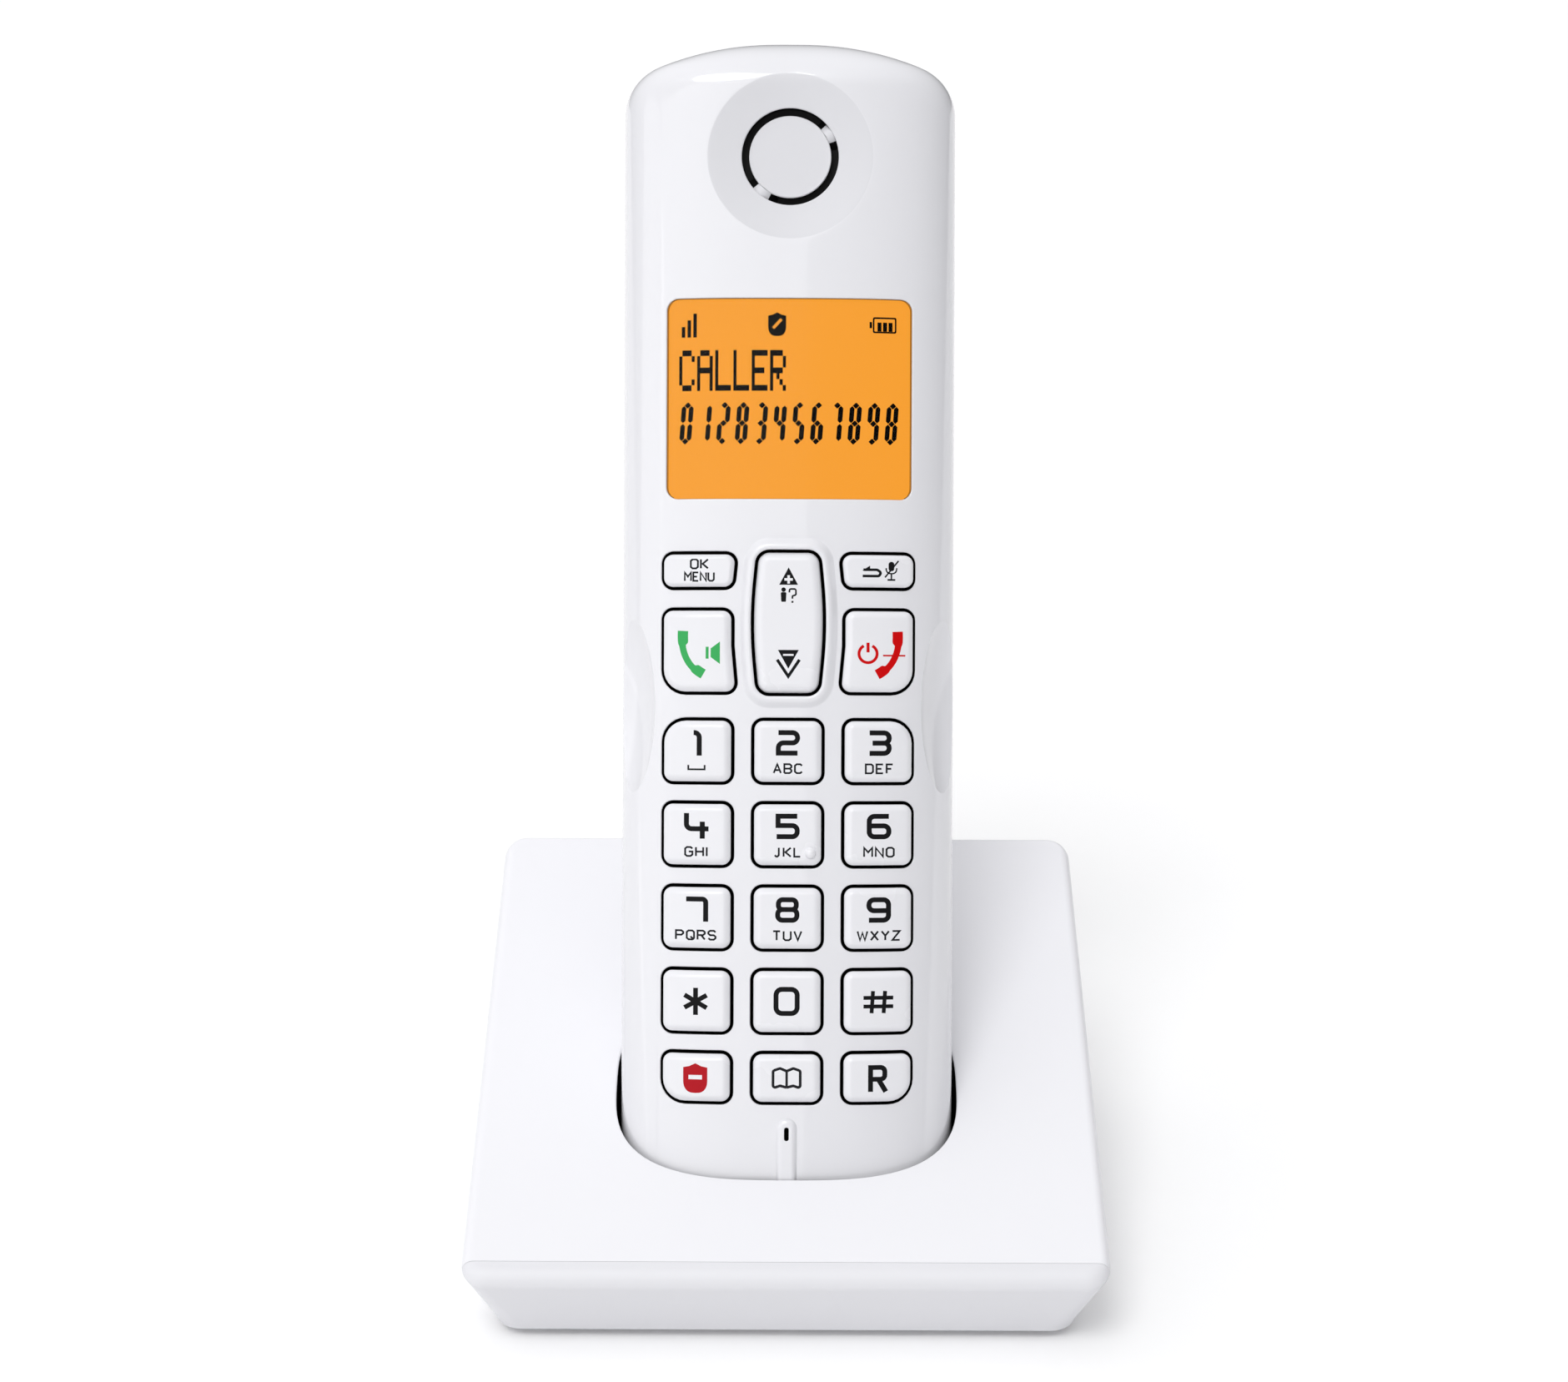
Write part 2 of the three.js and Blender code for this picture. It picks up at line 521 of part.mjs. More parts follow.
function addHandset(phone) {
  const handset = new THREE.Group();
  handset.position.set(0, SEAT_Y, SEAT_Z);
  handset.rotation.x = -THREE.MathUtils.degToRad(LEAN);
  phone.add(handset);

  place(handset, "front_shell", frontShell(), whiteShell);
  place(handset, "rear_shell", rearShell(), whiteShell);
  place(handset, "battery_door", batteryDoor(), whiteShell);
  addBatteries(handset);
  addKeys(handset);
  addElectronics(handset);
  sides.forEach((side) => {
    const name = side < 0 ? "left" : "right";
    const x = side * CHARGE.x;
    const plateZ = SHELL_WALL + 2 * GAP;
    const plate = box(x - CHARGE_PLATE.halfWidth, x + CHARGE_PLATE.halfWidth,
      CHARGE_PLATE.front, CHARGE_PLATE.back, plateZ, plateZ + CHARGE_PLATE.thickness);
    place(handset, `charge_plate_${name}`, plate, nickel);
    const { headRadius, headHeight, radius, length, x: screwX, z } = HANDSET_SCREW;
    const headFront = LEDGE.y + 0.1;
    const screw = rodY(headRadius, side * screwX, z, headFront, headFront + headHeight, 12)
      .add(rodY(radius, side * screwX, z, LEDGE.y - length, headFront + 0.1, 8));
    place(handset, `handset_screw_${name}`, screw, steel);
  });
  return handset;
}

// The base's outer form ------------------------------------------------------------------------

function topPlane(y) {
  return NOSE_Z + (y - SEAM_Y) * Math.tan(THREE.MathUtils.degToRad(TOP_SLOPE));
}

// A rounded rectangle in plan, as a ring of points whose height is given by a function of y.
function planRing(halfWidth, front, back, corner, heightAt) {
  const steps = 4;
  const ring = [];
  for (let quarter = 0; quarter < 4; quarter += 1) {
    const x = (quarter === 0 || quarter === 3 ? 1 : -1) * (halfWidth - corner);
    const y = quarter < 2 ? back - corner : front + corner;
    for (let i = 0; i <= steps; i += 1) {
      const angle = ((quarter + i / steps) * Math.PI) / 2;
      const point = new THREE.Vector3(x + corner * Math.cos(angle), y + corner * Math.sin(angle), 0);
      point.z = heightAt(point.y);
      ring.push(point);
    }
  }
  return ring;
}

// The whole base as one wedge, with its surface moved in by inset.
function wedge(inset) {
  const half = BASE.halfWidth - inset;
  const front = BASE.front + inset;
  const back = BASE.back - inset;
  const corner = BASE.corner - inset / 2;
  const bottom = BASE_BOTTOM + inset;
  const footHalf = FOOTPRINT.halfWidth - inset;
  const footCorner = FOOTPRINT.corner - inset;
  const edgeDrop = (y) => (y < front + corner ? EDGE.nose : EDGE.side);
  const footFront = FOOTPRINT.front + inset;
  const footBack = FOOTPRINT.back - inset;
  const foot = EDGE.foot;
  const atTop = (y) => topPlane(y) - inset;
  const atEdge = (y) => topPlane(y) - edgeDrop(y) - inset;
  return loft([
    planRing(half - EDGE.side, front + EDGE.nose, back - EDGE.side, corner - EDGE.side, atTop),
    planRing(half, front, back, corner, atEdge),
    planRing(footHalf, footFront, footBack, footCorner, () => bottom + foot),
    planRing(footHalf - foot, footFront + foot, footBack - foot, footCorner - foot, () => bottom),
  ]);
}

// A straight prism along the handset's axis, of the handset's section grown by a clearance.
function cradlePrism(seat, grow, z0, z1) {
  const ring = (z) => squaredOval(HANDSET.halfWidth + grow, HANDSET.halfDepth + grow, z, 40)
    .map((point) => point.applyMatrix4(seat));
  return loft([ring(z1), ring(z0)]);
}

// The base's pieces ----------------------------------------------------------------------------

// Upright rods along the base's two screws.
function baseRods(radius, x, z0, z1) {
  return joined(sides.map((side) => rodZ(radius, side * x, BASE_SCREW.y, z0, z1, 12)));
}

function topCover(seat, whole, hollow) {
  const pocketWall = cradlePrism(seat, POCKET.clearance + POCKET.wall, POCKET.floor - POCKET.wall, 70)
    .intersect(whole)
    .intersect(box(-60, 60, -60, 60, POCKET.lowest, 80));
  const pocket = cradlePrism(seat, POCKET.clearance, POCKET.floor, 90);
  const bosses = baseRods(BOSS.upper, BASE_SCREW.x, BOSS.upperBottom, 60).intersect(whole);
  const bossHoles = baseRods(BASE_SCREW.radius + GAP, BASE_SCREW.x, 0, BASE_SCREW.top + 5);
  const contactSlots = joined(sides.map((side) => {
    const cutter = new THREE.BoxGeometry(CONTACT_SLOT.width, CONTACT_SLOT.depth, 8);
    return solid(cutter.translate(side * CHARGE.x, CHARGE.y, POCKET.floor).applyMatrix4(seat));
  }));
  const jackNotches = joined(sides.map((side) => {
    const half = SOCKET.width / 2 + GAP;
    return box(side * JACK.x - half, side * JACK.x + half, JACK.back, 50, 0, SOCKET.top + GAP);
  }));
  return whole.subtract(hollow)
    .intersect(box(-60, 60, SEAM_Y + GAP, 60, SKIRT_Z + GAP, 80))
    .add(pocketWall)
    .add(bosses)
    .subtract(pocket)
    .subtract(bossHoles)
    .subtract(contactSlots)
    .subtract(jackNotches)
    .subtract(rodY(PAGE.radius + 0.4, 0, PAGE.z, 38, 50));
}

const footPlaces = [
  ["front_left", -FOOT.x, FOOT.front], ["front_right", FOOT.x, FOOT.front],
  ["rear_left", -FOOT.x, FOOT.back], ["rear_right", FOOT.x, FOOT.back],
];

// The lower housing is a tray whose front wall rises to the top as the base's front band.
function bottomHousing(whole, hollow) {
  const low = box(-60, 60, -60, 60, 0, SKIRT_Z);
  const band = box(-60, 60, -60, SEAM_Y, 0, 30);
  const bosses = baseRods(BOSS.lower, BASE_SCREW.x - 1, BASE_BOTTOM + 0.1, BOSS.lowerTop);
  const heads = baseRods(BASE_SCREW.headRadius + GAP, BASE_SCREW.x, 0, BASE_SCREW.headTop + 0.2);
  const shanks = baseRods(BASE_SCREW.radius + GAP, BASE_SCREW.x, 0, BOSS.lowerTop + 2);
  const recessTop = BASE_BOTTOM + FOOT.recess;
  const recesses = joined(footPlaces.map(([, x, y]) => rodZ(FOOT.radius + GAP, x, y, 0, recessTop, 20)));
  return whole.subtract(hollow)
    .intersect(low.add(band))
    .add(bosses.intersect(whole))
    .subtract(heads)
    .subtract(shanks)
    .subtract(recesses);
}

function jack(side) {
  const x = side * JACK.x;
  const bottom = BASE_BOARD.z + BASE_BOARD.thickness + GAP;
  const mouth = box(x - SOCKET.width / 2, x + SOCKET.width / 2, SOCKET.front, 50,
    SOCKET.bottom, SOCKET.top);
  return box(x - JACK.width / 2, x + JACK.width / 2, JACK.front, JACK.back - GAP, bottom, JACK.top)
    .subtract(mouth);
}

// A charging contact is a strip bent into an arch, which the handset's weight presses down.
function contactOutline() {
  const { thickness, low, y } = CHARGE;
  const half = CHARGE.depth / 2;
  const spring = SHELL_WALL - half + 0.4;    // where the legs bend into the arch
  const crown = SHELL_WALL + half - 0.4;
  const outline = new THREE.Shape();
  outline.moveTo(y - half, low);
  outline.lineTo(y - half + thickness, low);
  outline.lineTo(y - half + thickness, spring);
  outline.quadraticCurveTo(y, crown - 2 * thickness, y + half - thickness, spring);
  outline.lineTo(y + half - thickness, low);
  outline.lineTo(y + half, low);
  outline.lineTo(y + half, spring);
  outline.quadraticCurveTo(y, crown, y - half, spring);
  outline.closePath();
  return outline;
}

function addBase(phone, handset) {
  handset.updateMatrix();
  const seat = handset.matrix;
  const whole = wedge(0);
  const hollow = wedge(BASE.wall);
  const base = new THREE.Group();
  phone.add(base);
  place(base, "top_cover", topCover(seat, whole, hollow), whiteShell);
  place(base, "bottom_housing", bottomHousing(whole, hollow), whiteShell);
  const board = box(-BASE_BOARD.halfWidth, BASE_BOARD.halfWidth, BASE_BOARD.front, BASE_BOARD.back,
    BASE_BOARD.z, BASE_BOARD.z + BASE_BOARD.thickness);
  place(base, "base_board", board, circuitBoard);
  place(base, "power_jack", jack(-1), blackPlastic);
  place(base, "line_jack", jack(1), blackPlastic);
  const button = rodY(PAGE.radius, 0, PAGE.z, PAGE.front, PAGE.back)
    .add(rodY(PAGE.flange, 0, PAGE.z, PAGE.front, PAGE.flangeBack));
  place(base, "page_button", button, greySilicone);
  const footTop = BASE_BOTTOM + FOOT.recess - 0.2;
  footPlaces.forEach(([name, x, y]) => {
    place(base, `foot_${name}`, rodZ(FOOT.radius, x, y, 0, footTop, 20), greyRubber);
  });
  const contacts = new THREE.Group();
  contacts.position.copy(handset.position);
  contacts.rotation.copy(handset.rotation);
  base.add(contacts);
  sides.forEach((side) => {
    const name = side < 0 ? "left" : "right";
    const { headRadius, headBottom, headTop, radius, top, y } = BASE_SCREW;
    const screw = rodZ(headRadius, side * BASE_SCREW.x, y, headBottom, headTop, 12)
      .add(rodZ(radius, side * BASE_SCREW.x, y, headTop - 0.3, top, 8));
    place(base, `base_screw_${name}`, screw, steel);
    const x = side * CHARGE.x;
    const strip = plateX(contactOutline(), x - CHARGE.width / 2, x + CHARGE.width / 2);
    place(contacts, `charge_contact_${name}`, strip, nickel);
  });
}

// The phone ------------------------------------------------------------------------------------

const phone = new THREE.Group();
addBase(phone, addHandset(phone));

phone.updateMatrixWorld(true);
const middle = new THREE.Box3().setFromObject(phone, true).getCenter(new THREE.Vector3());
phone.position.set(-middle.x, -middle.y, 0);

export default phone;
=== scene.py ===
import json
import math

import bpy
import numpy as np
from mathutils import Matrix, Vector
from mathutils.geometry import delaunay_2d_cdt


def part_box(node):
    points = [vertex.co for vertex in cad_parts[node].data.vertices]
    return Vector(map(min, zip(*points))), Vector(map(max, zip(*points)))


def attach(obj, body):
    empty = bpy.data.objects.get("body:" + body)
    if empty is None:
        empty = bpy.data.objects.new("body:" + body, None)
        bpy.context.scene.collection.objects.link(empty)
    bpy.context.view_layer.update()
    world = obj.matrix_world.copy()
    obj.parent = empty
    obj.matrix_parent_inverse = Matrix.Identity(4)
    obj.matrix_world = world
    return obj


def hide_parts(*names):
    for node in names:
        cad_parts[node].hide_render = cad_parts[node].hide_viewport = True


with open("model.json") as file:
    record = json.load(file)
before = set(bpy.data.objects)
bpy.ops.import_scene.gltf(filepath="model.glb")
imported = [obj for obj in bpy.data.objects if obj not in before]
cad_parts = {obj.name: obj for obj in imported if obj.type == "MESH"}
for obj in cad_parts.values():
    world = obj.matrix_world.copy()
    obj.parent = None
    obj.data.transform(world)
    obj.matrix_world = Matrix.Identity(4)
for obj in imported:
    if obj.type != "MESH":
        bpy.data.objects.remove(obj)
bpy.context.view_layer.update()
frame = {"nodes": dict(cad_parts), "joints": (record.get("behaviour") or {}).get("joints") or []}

# ---------------------------------------------------------------------------------------------
# Two working frames in millimetres: the handset's own, upright with its face towards -Y, and the
# base's, on the floor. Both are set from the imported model.
# ---------------------------------------------------------------------------------------------

MM = 0.001
joints = {joint["name"]: joint for joint in frame["joints"]}
LONG = Vector(joints["handset_lift"]["axis"])
SIDE = Vector((1, 0, 0))
DEEP = LONG.cross(SIDE)
NAV_HINGE = (-9.0, 84.7)             # the rocker's hinge in the handset: depth, height
SEAT = Vector(joints["navigation_rock"]["pos_m"]) - MM * (DEEP * NAV_HINGE[0] + LONG * NAV_HINGE[1])
HANDSET = Matrix.Translation(SEAT) @ Matrix((SIDE * MM, DEEP * MM, LONG * MM)).transposed().to_4x4()
BASE_FRONT = -41.2
BASE = Matrix.Translation((0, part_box("bottom_housing")[0].y - BASE_FRONT * MM, 0)) @ Matrix.Scale(MM, 4)
SEAT_IN_BASE = BASE.inverted() @ HANDSET


# ---------------------------------------------------------------------------------------------
# Mesh tools
# ---------------------------------------------------------------------------------------------

def unit(v):
    return v / np.maximum(np.linalg.norm(v, axis=-1, keepdims=True), 1e-12)


def rounded(corners, radii, step=0.5, arc=7):
    """A closed counter-clockwise outline with rounded corners: its points and outward directions."""
    count = len(corners)
    points, outward = [], []
    for i in range(count):
        here = np.array(corners[i], float)
        back = unit(np.array(corners[i - 1], float) - here)
        ahead = unit(np.array(corners[(i + 1) % count], float) - here)
        half = math.acos(max(-1.0, min(1.0, float(back @ ahead)))) / 2
        middle = here + unit(back + ahead) * radii[i] / math.sin(half)
        turn = 1.0 if back[0] * ahead[1] - back[1] * ahead[0] < 0 else -1.0
        first = here + back * radii[i] / math.tan(half) - middle
        sweep = math.pi - 2 * half
        for k in range(arc + 1):
            angle = turn * sweep * k / arc
            cos, sin = math.cos(angle), math.sin(angle)
            ray = np.array([first[0] * cos - first[1] * sin, first[0] * sin + first[1] * cos])
            points.append(middle + ray)
            outward.append(turn * ray / radii[i])
    return subdivided(np.array(points), np.array(outward), step)


def subdivided(points, outward, step):
    """The same outline with no gap between points longer than step."""
    new_points, new_outward = [], []
    for i in range(len(points)):
        a, b = points[i], points[(i + 1) % len(points)]
        pieces = max(1, int(np.linalg.norm(b - a) / step))
        for k in range(pieces):
            new_points.append(a + (b - a) * k / pieces)
            new_outward.append(outward[i] + (outward[(i + 1) % len(points)] - outward[i]) * k / pieces)
    return np.array(new_points), unit(np.array(new_outward))


def box_outline(x, z, width, height, radii, step=0.5, arc=7):
    left, right, low, high = x - width / 2, x + width / 2, z - height / 2, z + height / 2
    if np.isscalar(radii):
        radii = [radii] * 4
    return rounded([(left, low), (right, low), (right, high), (left, high)], radii, step, arc)


def circle(x, z, radius, count=64):
    angle = np.linspace(0, 2 * math.pi, count, endpoint=False)
    ray = np.stack([np.cos(angle), np.sin(angle)], 1)
    return np.array([x, z]) + radius * ray, ray


def inside(points, loop):
    """Which points lie inside a closed loop."""
    x, y = points[:, 0][:, None], points[:, 1][:, None]
    ax, ay = loop[:, 0][None], loop[:, 1][None]
    bx, by = np.roll(loop[:, 0], -1)[None], np.roll(loop[:, 1], -1)[None]
    straddles = (ay > y) != (by > y)
    cross = ax + (y - ay) * (bx - ax) / np.where(by == ay, 1e-12, by - ay)
    return np.sum(np.where(straddles & (x < cross), np.where(by > ay, 1, -1), 0), 1) != 0


def clear_of(points, loops, distance):
    """The points that are further than distance from every loop's points."""
    keep = np.ones(len(points), bool)
    for loop in loops:
        near = (np.abs(points[:, 0] - loop[:, 0].mean()) < np.ptp(loop[:, 0]) / 2 + distance)
        near &= (np.abs(points[:, 1] - loop[:, 1].mean()) < np.ptp(loop[:, 1]) / 2 + distance)
        where = np.nonzero(near & keep)[0]
        if len(where):
            gap = np.linalg.norm(points[where][:, None] - loop[None], axis=2).min(1)
            keep[where[gap < distance]] = False
    return points[keep]


def fill(outer, holes=(), lines=(), spots=None, gap=0.3):
    """Triangles that fill the outer loop around the holes, through the extra lines and spots."""
    loops = [outer, *holes, *lines]
    coords, edges = [], []
    for loop in loops:
        start = len(coords)
        coords.extend(loop)
        edges.extend((start + i, start + (i + 1) % len(loop)) for i in range(len(loop)))
    if spots is not None and len(spots):
        spots = spots[inside(spots, outer)]
        for hole in holes:
            spots = spots[~inside(spots, hole)]
        coords.extend(clear_of(spots, loops, gap))
    exact = np.array(coords, float)
    found = delaunay_2d_cdt([Vector(c) for c in exact], edges, [], 0, 1e-7)
    points = np.array([exact[origin[0]] if origin else v for v, origin in zip(found[0], found[3])])
    triangles = np.array(found[2])
    middles = points[triangles].mean(1)
    keep = inside(middles, outer)
    for hole in holes:
        keep &= ~inside(middles, hole)
    return points, triangles[keep]


def grid_spots(xs, ys):
    return np.stack(np.meshgrid(xs, ys), -1).reshape(-1, 2)


class Skin:
    """Patches that become one closed mesh, each with its exact surface directions."""

    def __init__(self):
        self.patches = []

    def add(self, points, normals, faces, slot=0, inward=None, group=None):
        normals = np.broadcast_to(np.asarray(normals, float), points.shape)
        if inward is not None:
            inward = np.broadcast_to(np.asarray(inward, float), points.shape)
        slots = np.broadcast_to(slot, len(faces))
        self.patches.append((points, normals, np.asarray(faces), slots, inward, group))

    def rings(self, rings, slot=0, starts=None, ends=None, inward=None, group=None, closed=True):
        """A surface through rings of points, counter-clockwise seen from outside, the outermost first."""
        rings = np.array(rings, float)
        rows, count = rings.shape[:2]
        if closed:
            along = np.roll(rings, -1, 1) - np.roll(rings, 1, 1)
        else:
            along = np.gradient(rings, axis=1)
        normals = unit(np.cross(along, np.gradient(rings, axis=0)))
        if starts is not None:
            normals[0] = starts
        if ends is not None:
            normals[-1] = ends
        here = np.arange(count if closed else count - 1)
        ahead = (here + 1) % count
        faces = np.concatenate([np.stack([k * count + here, k * count + ahead, (k + 1) * count + ahead,
                                          (k + 1) * count + here], 1) for k in range(rows - 1)])
        if not np.isscalar(slot):
            slot = np.repeat(slot, len(here))
        if inward is not None and np.ndim(inward) == 2 and len(inward) == count:
            inward = np.tile(inward, (rows, 1))
        self.add(rings.reshape(-1, 3), normals.reshape(-1, 3), faces, slot, inward, group)

    def build(self, name, materials, matrix, rim=None):
        points = np.concatenate([patch[0] for patch in self.patches])
        _, first, ids = np.unique(np.round(points / 1e-3).astype(np.int64), axis=0,
                                  return_index=True, return_inverse=True)
        ids = ids.ravel()
        spots = points[first]
        faces, corners, slots = [], [], []
        shift, counted = np.zeros_like(spots), set()
        thick = np.zeros(len(spots), bool)
        offset = 0
        for patch_points, normals, patch_faces, patch_slots, inward, group in self.patches:
            own = ids[offset:offset + len(patch_points)]
            offset += len(patch_points)
            for face, slot in zip(patch_faces.tolist(), patch_slots.tolist()):
                ring, kept = [], []
                for corner in face:
                    if own[corner] not in ring:
                        ring.append(int(own[corner]))
                        kept.append(normals[corner])
                if len(ring) > 2:
                    faces.append((ring, inward is not None))
                    corners.extend(kept)
                    slots.append(slot)
            if inward is not None:
                for spot, way in zip(own.tolist(), inward):
                    if (spot, group) not in counted:
                        counted.add((spot, group))
                        shift[spot] += way
                        thick[spot] = True
        skins = [face for face, _ in faces]
        if thick.any():
            self.close(spots, faces, shift, skins, corners, slots, rim)
            spots = np.concatenate([spots, spots + shift])
        mesh = bpy.data.meshes.new(name)
        place = np.array(matrix)
        spots = spots @ place[:3, :3].T + place[:3, 3]
        mesh.from_pydata(spots.tolist(), [], skins)
        mesh.polygons.foreach_set("material_index", np.array(slots, np.int32))
        mesh.polygons.foreach_set("use_smooth", np.ones(len(skins), bool))
        turned = unit(np.array(corners) @ place[:3, :3].T)
        mesh.update()
        mesh.normals_split_custom_set(turned.tolist())
        for material in materials:
            mesh.materials.append(material)
        piece = bpy.data.objects.new(name, mesh)
        bpy.context.scene.collection.objects.link(piece)
        loose = np.ones(len(spots), bool)
        loose[np.unique(np.concatenate([np.array(face) for face in skins]))] = False
        if loose.any():
            drop_loose(mesh, turned)
        return piece

    def close(self, spots, faces, shift, skins, corners, slots, rim):
        """The hidden inner skin, and the rims that join it to the outer one."""
        count = len(spots)
        directed = {}
        at = 0
        for i, (face, is_thick) in enumerate(faces):
            if is_thick:
                for k in range(len(face)):
                    directed[(face[k], face[(k + 1) % len(face)])] = slots[i]
        for i, (face, is_thick) in enumerate(list(faces)):
            size = len(face)
            if is_thick:
                skins.append([v + count for v in reversed(face)])
                corners.extend([-n for n in reversed(corners[at:at + size])])
                slots.append(slots[i])
            at += size
        for (a, b), slot in directed.items():
            if (b, a) in directed:
                continue
            quad = [b, a, a + count, b + count]
            pa, pb = spots[a], spots[b]
            flat = unit(np.cross(pa - pb, shift[a] + (pa - pb)))
            skins.append(quad)
            corners.extend([flat] * 4)
            slots.append(rim((pa + pb) / 2) if rim else slot)


def drop_loose(mesh, normals):
    """Takes out the points that no face uses."""
    count = len(mesh.vertices)
    used = np.zeros(count, bool)
    loops = np.zeros(len(mesh.loops), np.int32)
    mesh.loops.foreach_get("vertex_index", loops)
    used[loops] = True
    number = np.cumsum(used) - 1
    places = np.zeros(count * 3)
    mesh.vertices.foreach_get("co", places)
    sizes = [p.loop_total for p in mesh.polygons]
    slots = np.zeros(len(sizes), np.int32)
    mesh.polygons.foreach_get("material_index", slots)
    faces, at = [], 0
    for size in sizes:
        faces.append([int(number[v]) for v in loops[at:at + size]])
        at += size
    mesh.clear_geometry()
    mesh.from_pydata(places.reshape(-1, 3)[used].tolist(), [], faces)
    mesh.polygons.foreach_set("material_index", slots)
    mesh.polygons.foreach_set("use_smooth", np.ones(len(faces), bool))
    mesh.update()
    mesh.normals_split_custom_set(normals.tolist())


def finish_piece(piece, body, slot, *nodes):
    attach(piece, body)
    if nodes:
        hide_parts(*nodes)
    return piece


# ---------------------------------------------------------------------------------------------
# Materials
# ---------------------------------------------------------------------------------------------

def material(name, color, roughness=0.4, metallic=0.0, grain=0.0, grain_size=0.25, spread=0.06,
             tint=0.03, **sockets):
    """A moulded or metal finish: fine grain in the surface, and drifting colour and gloss."""
    made = bpy.data.materials.new(name)
    made.use_nodes = True
    nodes, links = made.node_tree.nodes, made.node_tree.links
    nodes.clear()
    out = nodes.new("ShaderNodeOutputMaterial")
    shader = nodes.new("ShaderNodeBsdfPrincipled")
    shader.inputs["Metallic"].default_value = metallic
    for socket, value in sockets.items():
        shader.inputs[socket.replace("_", " ")].default_value = value
    links.new(shader.outputs[0], out.inputs["Surface"])
    where = nodes.new("ShaderNodeTexCoord")
    drift = nodes.new("ShaderNodeTexNoise")
    drift.inputs["Scale"].default_value = 55
    drift.inputs["Detail"].default_value = 4
    links.new(where.outputs["Object"], drift.inputs["Vector"])
    gloss = nodes.new("ShaderNodeMapRange")
    gloss.inputs["To Min"].default_value = max(0.02, roughness - spread)
    gloss.inputs["To Max"].default_value = roughness + spread
    links.new(drift.outputs["Fac"], gloss.inputs["Value"])
    links.new(gloss.outputs[0], shader.inputs["Roughness"])
    shade = nodes.new("ShaderNodeMix")
    shade.data_type = "RGBA"
    shade.inputs["A"].default_value = [c * (1 - tint) for c in color] + [1]
    shade.inputs["B"].default_value = [min(1, c * (1 + tint)) for c in color] + [1]
    links.new(drift.outputs["Fac"], shade.inputs["Factor"])
    links.new(shade.outputs["Result"], shader.inputs["Base Color"])
    if grain:
        fine = nodes.new("ShaderNodeTexNoise")
        fine.inputs["Scale"].default_value = 1 / (grain_size * MM)
        fine.inputs["Detail"].default_value = 3
        links.new(where.outputs["Object"], fine.inputs["Vector"])
        bump = nodes.new("ShaderNodeBump")
        bump.inputs["Strength"].default_value = 1.0
        bump.inputs["Distance"].default_value = grain * MM
        links.new(fine.outputs["Fac"], bump.inputs["Height"])
        links.new(bump.outputs[0], shader.inputs["Normal"])
    return made


WHITE = (0.82, 0.82, 0.852)
front_white = material("front_white_plastic", WHITE, 0.42, grain=0.0016, tint=0.006,
                       Coat_Weight=1.0, Coat_Roughness=0.03, Coat_IOR=1.5)
# A darker, rougher white for the earpiece hollow and its disc. The satin roughness is a finish; the darker
# colour is painted shade in the hollow.
dish_shade_white = material("dish_painted_shade_white", (0.735, 0.735, 0.765), 0.5, grain=0.002, tint=0.006)
rear_white = material("rear_white_plastic", WHITE, 0.46, grain=0.006, tint=0.008)
# Lighter than WHITE: painted light on the base's sloping top cover.
cover_lit_white = material("cover_painted_light_white", (0.87, 0.87, 0.90), 0.34, grain=0.002, tint=0.006)
# Darker than WHITE: painted shade on the lower housing, whose front band faces down and away from the light.
lower_shaded_white = material("lower_painted_shade_white", (0.78, 0.78, 0.81), 0.46, grain=0.006, tint=0.008)
key_white = material("key_white_plastic", (0.85, 0.85, 0.88), 0.26, grain=0.001, tint=0.006)
# Black for the rubber key skirts and key mat. The same black is painted shade on the walls of the shell's
# openings, in the earpiece slot and in the base's pocket.
rubber_and_shade_black = material("key_black_rubber", (0.002, 0.002, 0.002), 0.8, grain=0.004, tint=0.2,
                     Specular_IOR_Level=0.1)
ink_black = material("ink_black", (0.004, 0.004, 0.005), 0.6, grain=0.001, tint=0.1, Specular_IOR_Level=0.12)
segment_black = material("segment_black", (0.001, 0.001, 0.001), 0.7, grain=0.001, tint=0.1,
                         Specular_IOR_Level=0.02)
ink_grey = material("ink_grey", (0.012, 0.012, 0.015), 0.6, grain=0.001, tint=0.08, Specular_IOR_Level=0.12)
ink_green = material("ink_green", (0.050, 0.43, 0.115), 0.5, grain=0.001, tint=0.03, Specular_IOR_Level=0.12)
ink_red = material("ink_red", (0.60, 0.0, 0.001), 0.5, grain=0.001, tint=0.03, Specular_IOR_Level=0.1)
ink_dark_red = material("ink_dark_red", (0.46, 0.008, 0.016), 0.5, grain=0.001, tint=0.03,
                        Specular_IOR_Level=0.1)
felt = material("black_felt", (0.004, 0.004, 0.004), 0.95, grain=0.05, grain_size=0.12, tint=0.4)
black_plastic = material("black_plastic", (0.011, 0.011, 0.012), 0.42, grain=0.004, tint=0.1)
board_green = material("circuit_board", (0.016, 0.12, 0.045), 0.42, grain=0.004, tint=0.15)
grey_rubber = material("grey_rubber", (0.055, 0.056, 0.060), 0.78, grain=0.02, tint=0.12)
page_grey = material("page_grey_silicone", (0.33, 0.34, 0.36), 0.55, grain=0.006, tint=0.05)
sleeve_green = material("battery_sleeve", (0.035, 0.23, 0.11), 0.32, grain=0.003, tint=0.08)
steel = material("screw_steel", (0.42, 0.43, 0.45), 0.32, 1.0, grain=0.003, tint=0.06)
nickel = material("contact_nickel", (0.60, 0.58, 0.53), 0.24, 1.0, grain=0.002, tint=0.06)

# ---------------------------------------------------------------------------------------------
# The handset's outer form. A place on it is (s, p): s runs round the section from the middle of
# the face, and p runs along the length, over the rounded ends to the two poles.
# ---------------------------------------------------------------------------------------------

